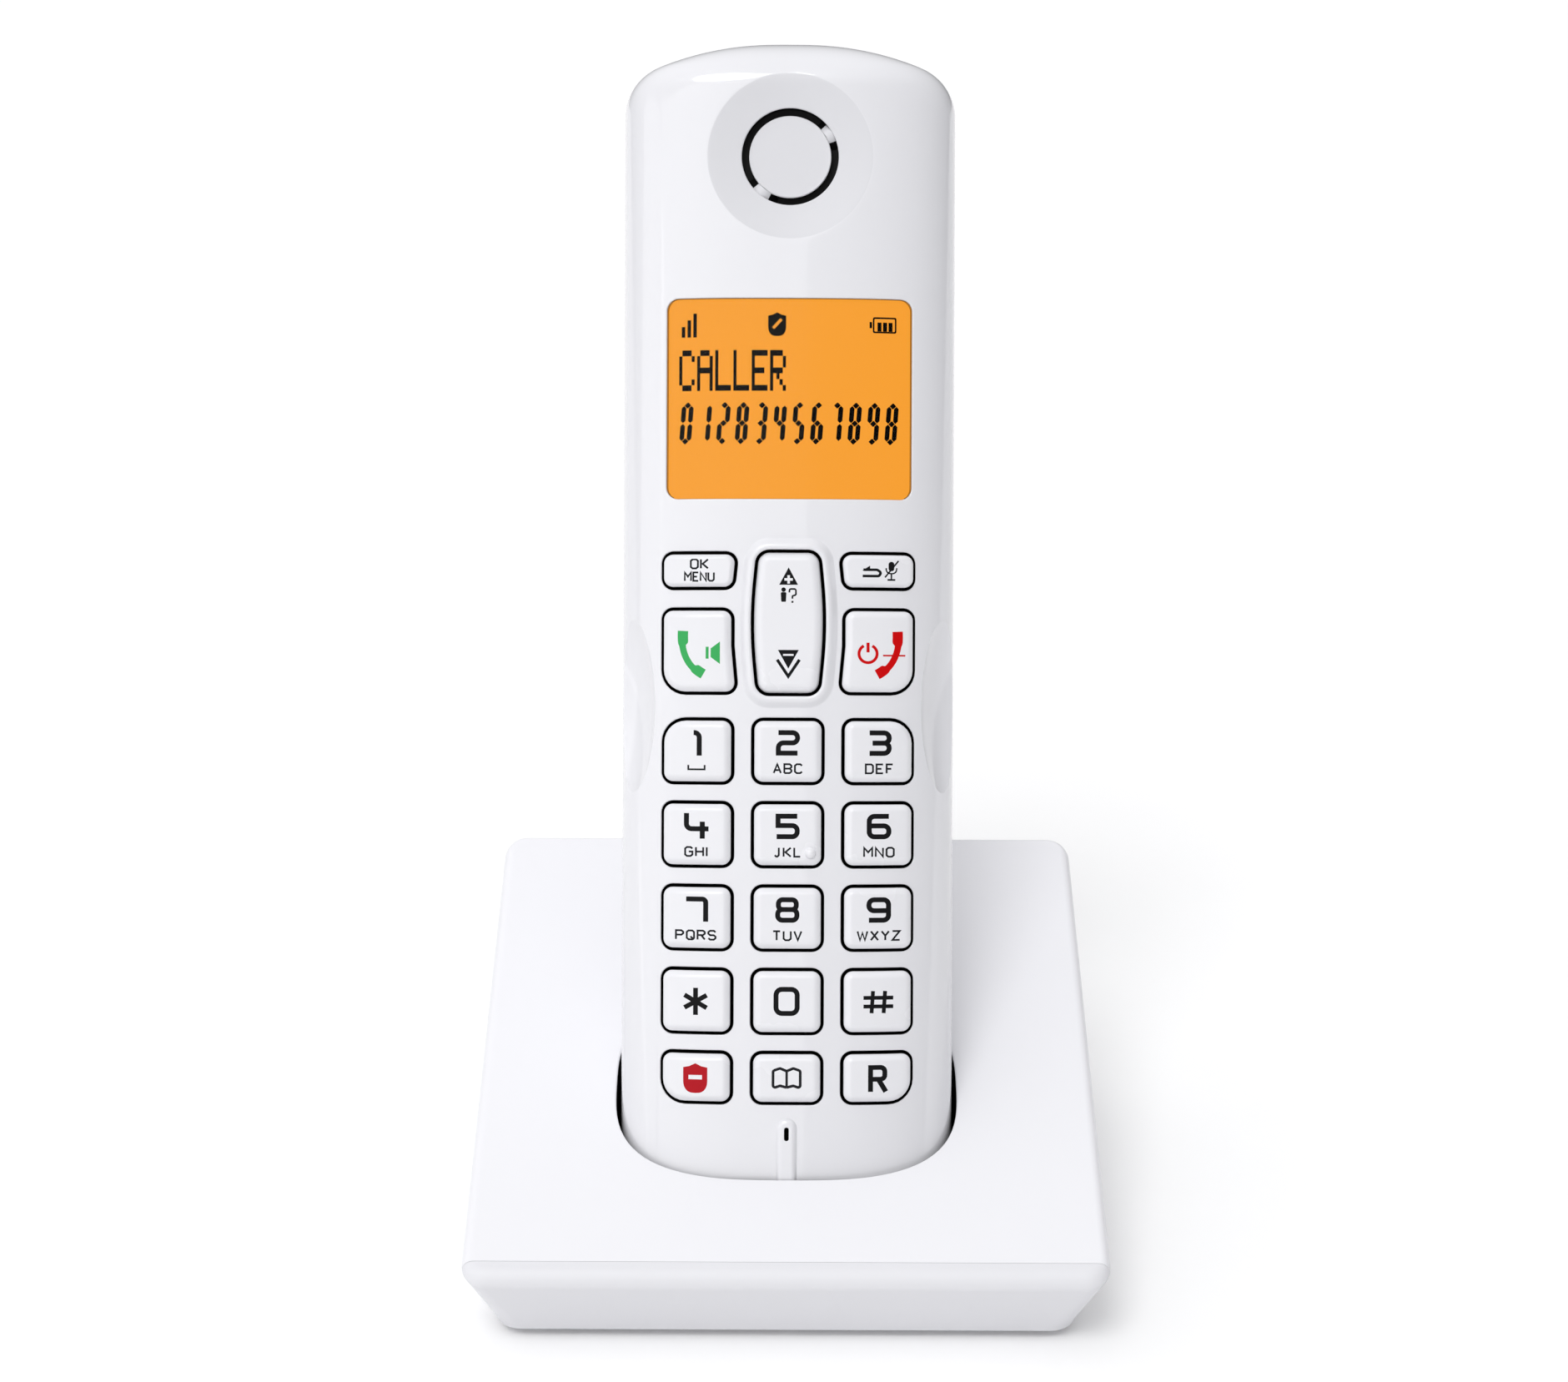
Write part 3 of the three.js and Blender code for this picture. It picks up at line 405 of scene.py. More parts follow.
HALF_W, HALF_D, LENGTH = 24.4, 13.0, 170.3
NOSE, END_R, WALL = 8.0, 5.0, 1.8
CROWN_R, SHOULDER_R = 50.6, 7.4      # the arched top and its round shoulders, seen from the front
SPLIT = 2.0                          # depth where the front shell ends
SEAM = 0.16

NOSE_P = LENGTH - NOSE
TOP_P = NOSE_P + NOSE * math.pi / 2
FOOT_P = END_R - END_R * math.pi / 2
LOW_P = FOOT_P - (HALF_D - END_R)


def section_table():
    across = np.linspace(0, 0.5 ** (1 / 3), 1500)
    down = (1 - across ** 3) ** (1 / 3)
    x, y = np.concatenate([across, down[-2::-1]]), np.concatenate([down, across[-2::-1]])
    x, y = np.concatenate([x, x[-2::-1]]), np.concatenate([-y, y[-2::-1]])
    s = np.concatenate([[0], np.cumsum(np.hypot(np.diff(x * HALF_W), np.diff(y * HALF_D)))])
    return s, x, y


TABLE_S, TABLE_X, TABLE_Y = section_table()
QUARTER = len(TABLE_S) // 2 + 1
BACK_S = TABLE_S[-1]


def outline_half_width(z):
    arc_z = LENGTH - CROWN_R
    corner_x = HALF_W - SHOULDER_R
    corner_z = arc_z + math.sqrt((CROWN_R - SHOULDER_R) ** 2 - corner_x ** 2)
    meet_z = arc_z + (corner_z - arc_z) * CROWN_R / (CROWN_R - SHOULDER_R)
    corner = corner_x + np.sqrt(np.maximum(0, SHOULDER_R ** 2 - (z - corner_z) ** 2))
    crown = np.sqrt(np.maximum(0, CROWN_R ** 2 - (z - arc_z) ** 2))
    return np.where(z <= corner_z, HALF_W, np.where(z < meet_z, corner, crown))


def profile(p):
    """Half the width and depth of the section at p, and its height."""
    top = np.clip((p - NOSE_P) / NOSE, 0, math.pi / 2)
    low = np.clip((END_R - p) / END_R, 0, math.pi / 2)
    flat = 1 - np.clip((FOOT_P - p) / (HALF_D - END_R), 0, 1)
    z = np.where(p > NOSE_P, NOSE_P + NOSE * np.sin(top), np.where(p < END_R, END_R * (1 - np.sin(low)), p))
    out = END_R * (1 - np.cos(low))
    return (outline_half_width(z) - out) * flat, (HALF_D * np.cos(top) - out) * flat, z


def plain(s, p):
    width, depth, z = profile(p)
    x = np.sign(s) * np.interp(np.abs(s), TABLE_S, TABLE_X)
    return np.stack([width * x, depth * np.interp(np.abs(s), TABLE_S, TABLE_Y), z], -1)


def facing(surface, s, p, step=0.02):
    """The outward direction of a surface, from neighbouring places on it."""
    across = surface(s + step, p) - surface(s - step, p)
    up = surface(s, np.minimum(p + step, TOP_P - 1e-3)) - surface(s, np.maximum(p - step, LOW_P + 1e-3))
    return unit(np.cross(across, up))


def raised(s, p, height):
    return plain(s, p) + facing(plain, s, p) * np.asarray(height)[..., None]


def locate(x, z):
    """The place on the face (or, for the back, its mirror image) that is seen at x and z."""
    p = np.where(z > NOSE_P, NOSE_P + NOSE * np.arcsin(np.clip((z - NOSE_P) / NOSE, 0, 1)), z)
    width = profile(p)[0]
    share = np.clip(np.abs(x) / np.maximum(width, 1e-6), 0, 1)
    return np.sign(x) * np.interp(share, TABLE_X[:QUARTER], TABLE_S[:QUARTER]), p


def located(outline):
    s, p = locate(outline[:, 0], outline[:, 1])
    return np.stack([s, p], 1)


def on_face(outline, height):
    """Points of an outline drawn in x and z, lifted by height off the face."""
    spots = located(outline)
    return raised(spots[:, 0], spots[:, 1], np.full(len(spots), float(height)))


# ---------------------------------------------------------------------------------------------
# Keys: their outlines first, because the front shell has an opening for each
# ---------------------------------------------------------------------------------------------

SLOT = 0.47                          # the black gap round each key
COLUMN, ROW, ROW_1_Z = 13.0, 12.0, 66.2
KEY_W, KEY_H, LOW_ROW_Z, LOW_ROW_H = 10.6, 9.7, 19.2, 7.8
KEY_R, KEY_BIG_R = 1.75, 3.6
SOFT_X, SOFT_Z, SOFT_W, SOFT_H = 12.75, 92.2, 11.3, 5.6
CALL_X, CALL_Z, CALL_W, CALL_H = 12.75, 80.6, 11.3, 12.6
NAV_Z, NAV_SLOT = 84.7, 0.45


def side_key(sign, x, z, width, height, low_radius, lean_low, lean_high):
    """A key beside the rocker: its inner side keeps clear of the rocker's curve."""
    inner, outer_x = x - width / 2, x + width / 2
    low, high = z - height / 2, z + height / 2
    corners = [(inner + lean_low, low), (outer_x, low), (outer_x, high), (inner + lean_high, high)]
    radii = [KEY_R, low_radius, KEY_R, KEY_R]
    if lean_high and height > 8:
        corners.append((inner + lean_high, z + height * 0.06))
        radii.append(5.0)
    if sign < 0:
        corners = [(-cx, cz) for cx, cz in reversed(corners)]
        radii = radii[::-1]
    return rounded(corners, radii)


def key_outlines():
    outlines = {
        "key_ok_menu": side_key(-1, SOFT_X, SOFT_Z, SOFT_W, SOFT_H, KEY_R, 0.6, 0),
        "key_back_mute": side_key(1, SOFT_X, SOFT_Z, SOFT_W, SOFT_H, KEY_R, 0.6, 0),
        "key_talk": side_key(-1, CALL_X, CALL_Z, CALL_W, CALL_H, KEY_BIG_R, 0, 0.65),
        "key_end": side_key(1, CALL_X, CALL_Z, CALL_W, CALL_H, KEY_BIG_R, 0, 0.65),
    }
    for row, labels in enumerate((("1", "2", "3"), ("4", "5", "6"), ("7", "8", "9"), ("star", "0", "hash"))):
        for column, label in enumerate(labels):
            radii = [KEY_R, KEY_R, KEY_BIG_R if label == "3" else KEY_R, KEY_BIG_R if label == "1" else KEY_R]
            x, z = (column - 1) * COLUMN, ROW_1_Z - row * ROW
            outlines["key_" + label] = box_outline(x, z, KEY_W, KEY_H, radii)
    for column, label in enumerate(("block", "phonebook", "recall")):
        radii = [KEY_BIG_R if column == 0 else KEY_R, KEY_BIG_R if column == 2 else KEY_R, KEY_R, KEY_R]
        outlines["key_" + label] = box_outline((column - 1) * COLUMN, LOW_ROW_Z, KEY_W, LOW_ROW_H, radii)
    return outlines


def grown(outline, by):
    points, outward = outline
    return points + outward * by


KEYS = key_outlines()
ROCKER = rounded([(-4.25, NAV_Z - 10.1), (4.25, NAV_Z - 10.1), (5.25, NAV_Z), (4.25, NAV_Z + 10.1),
                  (-4.25, NAV_Z + 10.1), (-5.25, NAV_Z)], [1.7, 1.7, 60, 1.7, 1.7, 60], arc=10)
WINDOW = box_outline(0, 117.0, 35.5, 28.9, 1.7, step=0.8)
EAR_Z, EAR_R, EAR_DEPTH = 152.0, 11.95, 1.3
EAR_OUT, EAR_IN = 7.0, 5.93

# ---------------------------------------------------------------------------------------------
# Front shell
# ---------------------------------------------------------------------------------------------


def dish(s, p):
    """The face with its hollow round the earpiece."""
    flat = plain(s, p)
    reach = 1 - ((flat[..., 0] ** 2 + (flat[..., 2] - EAR_Z) ** 2) / EAR_R ** 2)
    depth = EAR_DEPTH * reach * np.where(flat[..., 1] < 0, 1, 0)
    depth = (depth + np.sqrt(depth ** 2 + 0.05 ** 2)) / 2
    depth = np.where(reach < -0.25, 0, depth)
    return flat - facing(plain, s, p) * depth[..., None]


SCOOP_AT = np.array([28.5, -12.5, 72.6])
SCOOP_R = np.array([9.5, 9.5, 21.0])


def scoop_value(s, p):
    spot = plain(s, p)
    spot[..., 0] = np.abs(spot[..., 0])
    return (((spot - SCOOP_AT) / SCOOP_R) ** 2).sum(-1) - 1


def scoop_loop():
    """The edge of the right grip scoop, as places on the shell."""
    tries = np.linspace(15, 32, 400)
    deepest = tries[np.argmin(scoop_value(tries, np.full(400, SCOOP_AT[2])))]
    loop = []
    for angle in np.linspace(0, 2 * math.pi, 96, endpoint=False):
        low, high = 0.0, 26.0
        for _ in range(40):
            middle = (low + high) / 2
            value = scoop_value(np.array(deepest + middle * math.cos(angle) * 0.5),
                                np.array(SCOOP_AT[2] + middle * math.sin(angle)))
            low, high = (middle, high) if value < 0 else (low, middle)
        loop.append((deepest + low * math.cos(angle) * 0.5, SCOOP_AT[2] + low * math.sin(angle)))
    return np.array(loop), deepest


def scooped(s, p):
    """A place inside the scoop, pushed in to the scoop's hollow."""
    spot = plain(s, p)
    sign = np.where(spot[..., 0] < 0, -1, 1)
    spot[..., 0] *= sign
    way = unit(np.array([-SCOOP_AT[0], -SCOOP_AT[1], 0]))
    from_middle, scaled = (spot - SCOOP_AT) / SCOOP_R, way / SCOOP_R
    a, b, c = scaled @ scaled, from_middle @ scaled, (from_middle ** 2).sum(-1) - 1
    reach = np.where(c < 0, (-b + np.sqrt(np.maximum(0, b * b - a * c))) / a, 0)
    spot = spot + reach[..., None] * way
    normal = unit(-(spot - SCOOP_AT) / SCOOP_R ** 2)
    spot[..., 0] *= sign
    normal[..., 0] *= sign
    return spot, normal


def shell_edge(depth_limit, rows):
    """How far round the section the shell reaches at each row, before it passes depth_limit."""
    depth = np.maximum(profile(rows)[1], 1e-6)
    return np.interp(np.clip(depth_limit / depth, -1, 1), TABLE_Y, TABLE_S)


ROWS = np.concatenate([np.linspace(LOW_P, FOOT_P, 7)[:-1], np.linspace(FOOT_P, END_R, 12)[:-1],
                       np.arange(END_R, 155, 3.0), np.linspace(155, TOP_P, 34)])
S_SPLIT = float(shell_edge(SPLIT, np.array([80.0]))[0])
RIB = box_outline(0, 5.6, 3.0, 15.6, [0.5, 0.5, 1.45, 1.45], step=0.3)
MIC_SLOT = box_outline(0, 11.15, 0.66, 1.92, 0.3, step=0.25, arc=4)


def lip(skin, outline, grow_out, radius, slot=0, start_height=0.0, group="face", way=None, steps=5):
    """The small rounded edge round an opening, from the surface down to the opening's wall."""
    rings = []
    for k in range(steps + 1):
        angle = math.pi / 2 * k / steps
        rings.append(on_face(grown(outline, grow_out + radius * (1 - math.sin(angle))),
                             start_height - radius * (1 - math.cos(angle))))
    spots = located(grown(outline, grow_out + radius))
    start = facing(plain, spots[:, 0], spots[:, 1])
    skin.rings(rings, slot, starts=start, inward=way, group=group)


def front_shell():
    skin = Skin()
    inward = WALL
    edge = shell_edge(SPLIT, ROWS)
    outer = np.concatenate([np.stack([edge, ROWS], 1), np.stack([-edge, ROWS], 1)[::-1]])
    outer = subdivided(outer, np.ones_like(outer), 1.2)[0]
    lip_r = 0.16
    holes = {name: located(grown(outline, lip_r)) for name, outline in KEYS.items()}
    rim_foot = located(grown(ROCKER, 2.15))
    window = located(grown(WINDOW, 0.2))
    rib = located(RIB[0])
    ear = located(circle(0, EAR_Z, EAR_OUT + 0.2, 144)[0])
    right_scoop, _ = scoop_loop()
    left_scoop = right_scoop * [-1, 1]
    left_scoop = left_scoop[::-1]

    columns = np.concatenate([np.arange(0, 15, 1.5), np.arange(15, S_SPLIT, 0.6)])
    columns = np.concatenate([-columns[:0:-1], columns])
    spots = grid_spots(columns, ROWS[1:-1])
    spots = spots[np.abs(spots[:, 0]) < np.interp(spots[:, 1], ROWS, edge) - 0.3]
    face_x = plain(spots[:, 0], spots[:, 1])
    near_ear = np.hypot(face_x[:, 0], face_x[:, 2] - EAR_Z) < EAR_R + 1.3
    spots = spots[~(near_ear & (face_x[:, 1] < 0))]
    for radius in (7.9, 8.8, 9.7, 10.5, 11.1, 11.5, 11.75, 11.95, 12.15, 12.4, 12.8):
        spots = np.concatenate([spots, located(circle(0, EAR_Z, radius, 132)[0])])
    all_holes = [*holes.values(), rim_foot, window, rib, ear]
    points, triangles = fill(outer, all_holes, [right_scoop, left_scoop], spots, 0.22)
    middles = points[triangles].mean(1)
    in_scoop = inside(middles, right_scoop) | inside(middles, left_scoop)
    ways = -facing(plain, points[:, 0], points[:, 1]) * inward
    face, triangles = dish(points[:, 0], points[:, 1]), triangles[~in_scoop]
    centre = face[triangles].mean(1)
    # the earpiece hollow takes slot 2, the darker dish white: painted shade in the hollow
    slots = np.where(np.hypot(centre[:, 0], centre[:, 2] - EAR_Z) < EAR_R, 2, 0)
    skin.add(face, facing(dish, points[:, 0], points[:, 1]), triangles, slots, ways, "face")

    # the scoops: extra spots inside them keep the hollow smooth
    for loop in (right_scoop, left_scoop):
        low, high = loop.min(0), loop.max(0)
        inner = grid_spots(np.linspace(low[0], high[0], 24), np.linspace(low[1], high[1], 44))
        inner = inner[inside(inner, loop)]
        hollow, faces = fill(loop, (), (), inner, 0.25)
        place, normal = scooped(hollow[:, 0], hollow[:, 1])
        way = -facing(plain, hollow[:, 0], hollow[:, 1]) * inward
        skin.add(place, normal, faces, inward=way, group="face")

    straight = np.array([0.0, 1.0, 0.0]) * inward
    for outline in KEYS.values():
        lip(skin, outline, 0, lip_r, way=straight)
    lip(skin, WINDOW, 0, 0.2, way=straight)

    # the raised rim round the rocker
    rim_profile = [(2.15, 0.0), (2.02, 0.05), (1.86, 0.17), (1.62, 0.40), (1.42, 0.58), (1.25, 0.70),
                   (1.08, 0.77), (0.9, 0.80), (0.74, 0.80), (0.60, 0.77), (0.51, 0.69), (NAV_SLOT, 0.56)]
    rings = [on_face(grown(ROCKER, grow), height) for grow, height in rim_profile]
    skin.rings(rings, inward=straight * 1.3, group="face")

    # the rib over the microphone
    rib_profile = [(0, 0.0), (-0.1, 0.12), (-0.24, 0.29), (-0.4, 0.41), (-0.6, 0.48), (-0.78, 0.5)]
    rings = [on_face(grown(RIB, grow), height) for grow, height in rib_profile]
    skin.rings(rings, inward=straight, group="face")
    top = located(grown(RIB, -0.78))
    slot_edge = located(grown(MIC_SLOT, 0.1))
    spots = grid_spots(np.array([-0.35, 0.0, 0.35]), np.arange(-2.0, 13.5, 0.5))
    points, triangles = fill(top, [slot_edge], (), spots, 0.2)
    skin.add(raised(points[:, 0], points[:, 1], np.full(len(points), 0.5)),
             facing(plain, points[:, 0], points[:, 1]), triangles, inward=straight, group="face")
    lip(skin, MIC_SLOT, 0, 0.1, start_height=0.5, way=straight, steps=3)

    ear_groove(skin, straight)
    return skin


def bridge_share(angle):
    """1 where a bridge carries the earpiece's centre disc, 0 in the open slot between them."""
    share = 0
    for middle, half in ((math.radians(30), math.radians(17)), (math.radians(231), math.radians(19))):
        off = np.abs((angle - middle + math.pi) % (2 * math.pi) - math.pi)
        share = np.maximum(share, 0.5 + 0.5 * np.cos(np.clip(off / (half * 1.5), 0, 1) * math.pi))
    return share


def ear_groove(skin, way):
    """The slot round the earpiece's centre disc, with its two sunken bridges, and the disc."""
    count = 144
    ray = circle(0, 0, 1.0, count)[1]
    angle = np.arctan2(ray[:, 1], ray[:, 0])
    deep = 1.9 - 1.62 * bridge_share(angle) ** 0.8
    floor = EAR_DEPTH - HALF_D

    def ring(radius, depth):
        x, z = ray[:, 0] * radius, EAR_Z + ray[:, 1] * radius
        s, p = locate(x, z)
        surface = dish(s, p)[:, 1] if radius > EAR_IN else np.full(count, floor - 0.05)
        return np.stack([x, surface + depth, z], 1)

    # slot 2 is the darker dish white and slot 1 is black: the black on the slot's deep walls is painted shade
    rings = [ring(EAR_OUT + 0.2, 0), ring(EAR_OUT + 0.11, 0.015), ring(EAR_OUT + 0.04, 0.06),
             ring(EAR_OUT, 0.16), ring(EAR_OUT, np.minimum(deep, 0.26)), ring(EAR_OUT, deep)]
    dark = [2, 2, 2, 2, 1]
    skin.rings(rings, dark, inward=way, group="face")
    low = ring(EAR_OUT, deep)
    middle = ring((EAR_OUT + EAR_IN) / 2, deep + 0.02)
    high = ring(EAR_IN, deep)
    high[:, 1] = low[:, 1]
    middle[:, 1] = low[:, 1]
    # the slot's floor is black where it is deep and dish white over the shallow bridges: painted shade in the
    # slot
    floor_slot = np.where(deep > 0.75, 1, 2)
    floor_rings = Skin()
    floor_rings.rings([low, middle, high])
    points, normals, faces, _, _, _ = floor_rings.patches[0]
    skin.add(points, normals, faces, np.tile(floor_slot, 2), way, "face")
    top = ring(EAR_IN - 0.14, 0)
    # the disc's edge is black in its lowest band, as painted shade in the slot
    edge = [high, ring(EAR_IN, 0.34), ring(EAR_IN, 0.14), ring(EAR_IN - 0.04, 0.05), ring(EAR_IN - 0.14, 0)]
    skin.rings(edge, [1, 2, 2, 2], inward=way, group="face")
    # the centre disc takes the darker dish white: painted shade
    rings = [top, ring(EAR_IN - 0.32, 0.0), ring(EAR_IN - 0.42, 0.03), ring(4.9, 0.045), ring(2.5, 0.05),
             ring(0.001, 0.05)]
    skin.rings(rings, [2] * 5, starts=[0, -1, 0], inward=way, group="face")


def shaded_opening_walls(middle):
    """Walls of the openings are painted black, as painted shade in the gaps round the keys and the other
    openings; the shell's seam stays white.
    """
    return 1 if middle[1] < -3.5 else 0


piece = front_shell().build("front_cover", [front_white, rubber_and_shade_black, dish_shade_white], HANDSET, shaded_opening_walls)
finish_piece(piece, "handset", "handset_front", "front_shell")

# ---------------------------------------------------------------------------------------------
# Printed marks. Each mark is a set of closed loops, filled where a point is inside an odd number.
# ---------------------------------------------------------------------------------------------


def softened(points, bend, closed):
    """A line through the points with each corner rounded to its bend radius."""
    points = [np.array(p, float) for p in points]
    bends = [bend] * len(points) if np.isscalar(bend) else list(bend)
    made = []
    for i, here in enumerate(points):
        if bends[i] <= 0 or (not closed and i in (0, len(points) - 1)):
            made.append(here)
            continue
        back, ahead = unit(points[i - 1] - here), unit(points[(i + 1) % len(points)] - here)
        half = math.acos(max(-1.0, min(1.0, float(back @ ahead)))) / 2
        if half > 1.56:
            made.append(here)
            continue
        middle = here + unit(back + ahead) * bends[i] / math.sin(half)
        first = here + back * bends[i] / math.tan(half) - middle
        turn = 1.0 if back[0] * ahead[1] - back[1] * ahead[0] < 0 else -1.0
        for k in range(7):
            angle = turn * (math.pi - 2 * half) * k / 6
            cos, sin = math.cos(angle), math.sin(angle)
            made.append(middle + [first[0] * cos - first[1] * sin, first[0] * sin + first[1] * cos])
    return np.array(made)


def stroke(points, width, bend=0.0, closed=False):
    """A pen stroke as closed loops."""
    line = softened(points, bend, closed)
    if closed:
        before, after = np.roll(line, 1, 0), np.roll(line, -1, 0)
    else:
        before = np.vstack([2 * line[:1] - line[1:2], line[:-1]])
        after = np.vstack([line[1:], 2 * line[-1:] - line[-2:-1]])
    come, go = unit(line - before), unit(after - line)
    side = unit(np.stack([-(come + go)[:, 1], (come + go)[:, 0]], 1))
    normal = np.stack([-go[:, 1], go[:, 0]], 1)
    reach = width / 2 / np.maximum(0.45, (side * normal).sum(1))
    left, right = line + side * reach[:, None], line - side * reach[:, None]
    if closed:
        return [left, right]
    return [np.vstack([left, right[::-1]])]


def moved(marks, x, z, size=1.0, mirror=1):
    """Marks shifted to (x, z), scaled, and mirrored left to right where mirror is -1."""
    return [[loop * [size * mirror, size] + [x, z] for loop in mark] for mark in marks]


# Letters on a grid 4 wide and 6 high: each word is a place, each bar starts a new line.
LETTERS = {
    "A": "00 26 40|12 32", "B": "00 06 36 45 44 33 03|33 42 41 30 00", "C": "45 36 16 05 01 10 30 41",
    "D": "00 06 36 45 41 30 00", "E": "46 06 00 40|03 33", "F": "46 06 00|03 33",
    "G": "45 36 16 05 01 10 30 41 43 23", "H": "00 06|40 46|03 43", "I": "00 06", "J": "36 31 20 10 01",
    "K": "00 06|46 13 40", "L": "06 00 40", "M": "00 06 23 46 40", "N": "00 06 40 46",
    "O": "10 30 41 45 36 16 05 01 10", "P": "00 06 36 45 44 33 03", "Q": "10 30 41 45 36 16 05 01 10|22 40",
    "R": "00 06 36 45 44 33 03|23 40", "S": "45 36 16 05 04 13 33 42 41 30 10 01", "T": "06 46|26 20",
    "U": "06 01 10 30 41 46", "V": "06 20 46", "W": "06 10 25 30 46", "X": "00 46|06 40",
    "Y": "06 23 46|23 20", "Z": "06 46 00 40",
}
LETTER_WIDTHS = {"I": 0.05, "J": 0.75, "L": 0.85, "M": 1.12, "W": 1.35, "E": 0.9, "F": 0.85}


def word(text, x, z, height=1.28, width=1.02, pen=0.21, space=0.50):
    """A line of letters centred at (x, z)."""
    sizes = [LETTER_WIDTHS.get(letter, 1.0) * width for letter in text]
    at = x - (sum(sizes) + space * (len(text) - 1)) / 2
    marks = []
    for letter, size in zip(text, sizes):
        for line in LETTERS[letter].split("|"):
            places = [(at + int(w[0]) * size / 4, z - height / 2 + int(w[1]) * height / 6)
                      for w in line.split()]
            closed = len(places) > 3 and places[0] == places[-1]
            marks.append(stroke(places[:-1] if closed else places, pen, 0.0, closed))
        at += size + space
    return marks


DIGIT_W, DIGIT_H = 1.38, 1.47       # half the width and height between a digit's outer lines
PEN, BEND = 0.72, 0.72


def digit(label):
    """A digit drawn with a wide square pen, centred at the origin."""
    w, h, r = DIGIT_W, DIGIT_H, BEND
    lines = {
        "1": [([(-0.42, h + 0.18), (0.38, h + 0.18), (0.38, -h - 0.2)], [0, r, 0])],
        "2": [([(-w, h), (w, h), (w, 0.0), (-w, 0.0), (-w, -h), (w, -h)], [0, r, r, r, 0, 0])],
        "3": [([(-w, h), (w, h), (w, 0.0), (-0.7 * w, 0.0)], [0, r, 0.69, 0]),
              ([(-0.7 * w, 0.0), (w, 0.0), (w, -h), (-w, -h)], [0, 0.69, r, 0])],
        "4": [([(-w, h + 0.36), (-w, -0.42), (w + 0.36, -0.42)], [0, r, 0]),
              ([(0.62 * w, 0.62), (0.62 * w, -h - 0.36)], 0)],
        "5": [([(w, h), (-w, h), (-w, 0.12), (w, 0.12), (w, -h), (-w - 0.2, -h)], [0, 0, 0, r, r, 0])],
        "6": [([(w, h), (-w, h), (-w, -h), (w, -h), (w, 0.1), (-w, 0.1)], [0, r, r, r, r, 0])],
        "7": [([(-w, h), (w, h), (w, -h - 0.3)], [0, 0.5, 0])],
        "9": [([(-w, -h), (w, -h), (w, h), (-w, h), (-w, -0.1), (w, -0.1)], [0, r, r, r, r, 0])],
    }
    if label == "8":
        return [stroke([(-w, -h), (w, -h), (w, 0.06), (-w, 0.06)], PEN, 0.66, True),
                stroke([(-0.93 * w, 0.06), (0.93 * w, 0.06), (0.93 * w, h), (-0.93 * w, h)], PEN, 0.6, True)]
    if label == "0":
        return [stroke([(-1.52, -1.73), (1.52, -1.73), (1.52, 1.73), (-1.52, 1.73)], PEN, 0.85, True)]
    return [stroke(points, PEN, bend) for points, bend in lines[label]]


def handset_mark():
    """A telephone handset as a sign, from its earpiece at the top left to its mouthpiece."""
    t = np.linspace(0, 1, 25)[:, None]
    start, pull, end = np.array([-2.62, 3.0]), np.array([-2.9, -1.6]), np.array([0.3, -3.3])
    line = (1 - t) ** 2 * start + 2 * t * (1 - t) * pull + t ** 2 * end
    ahead = unit(np.gradient(line, axis=0))
    inner_side = np.stack([-ahead[:, 1], ahead[:, 0]], 1)
    ends = np.clip((np.abs(t - 0.5) - 0.24) / 0.07, 0, 1)
    ends = ends * ends * (3 - 2 * ends)
    inner = line + inner_side * (0.42 + 0.42 * ends)
    outer_line = line - inner_side * (0.50 + 0.12 * ends)
    return [[np.vstack([inner, outer_line[::-1]])]]


def polygon(*points):
    return [np.array(points, float)]


def shield(width, height):
    half = width / 2
    t = np.linspace(0, math.pi / 2, 8)
    right = np.stack([half * np.cos(t) ** 0.7, -height * 0.12 - height * 0.40 * np.sin(t)], 1)
    left = right[::-1][1:] * [-1, 1]
    top = np.array([(-half, height * 0.36), (-half * 0.5, height * 0.40), (0, height * 0.5),
                    (half * 0.5, height * 0.40), (half, height * 0.36)])
    return np.vstack([right, left, top])


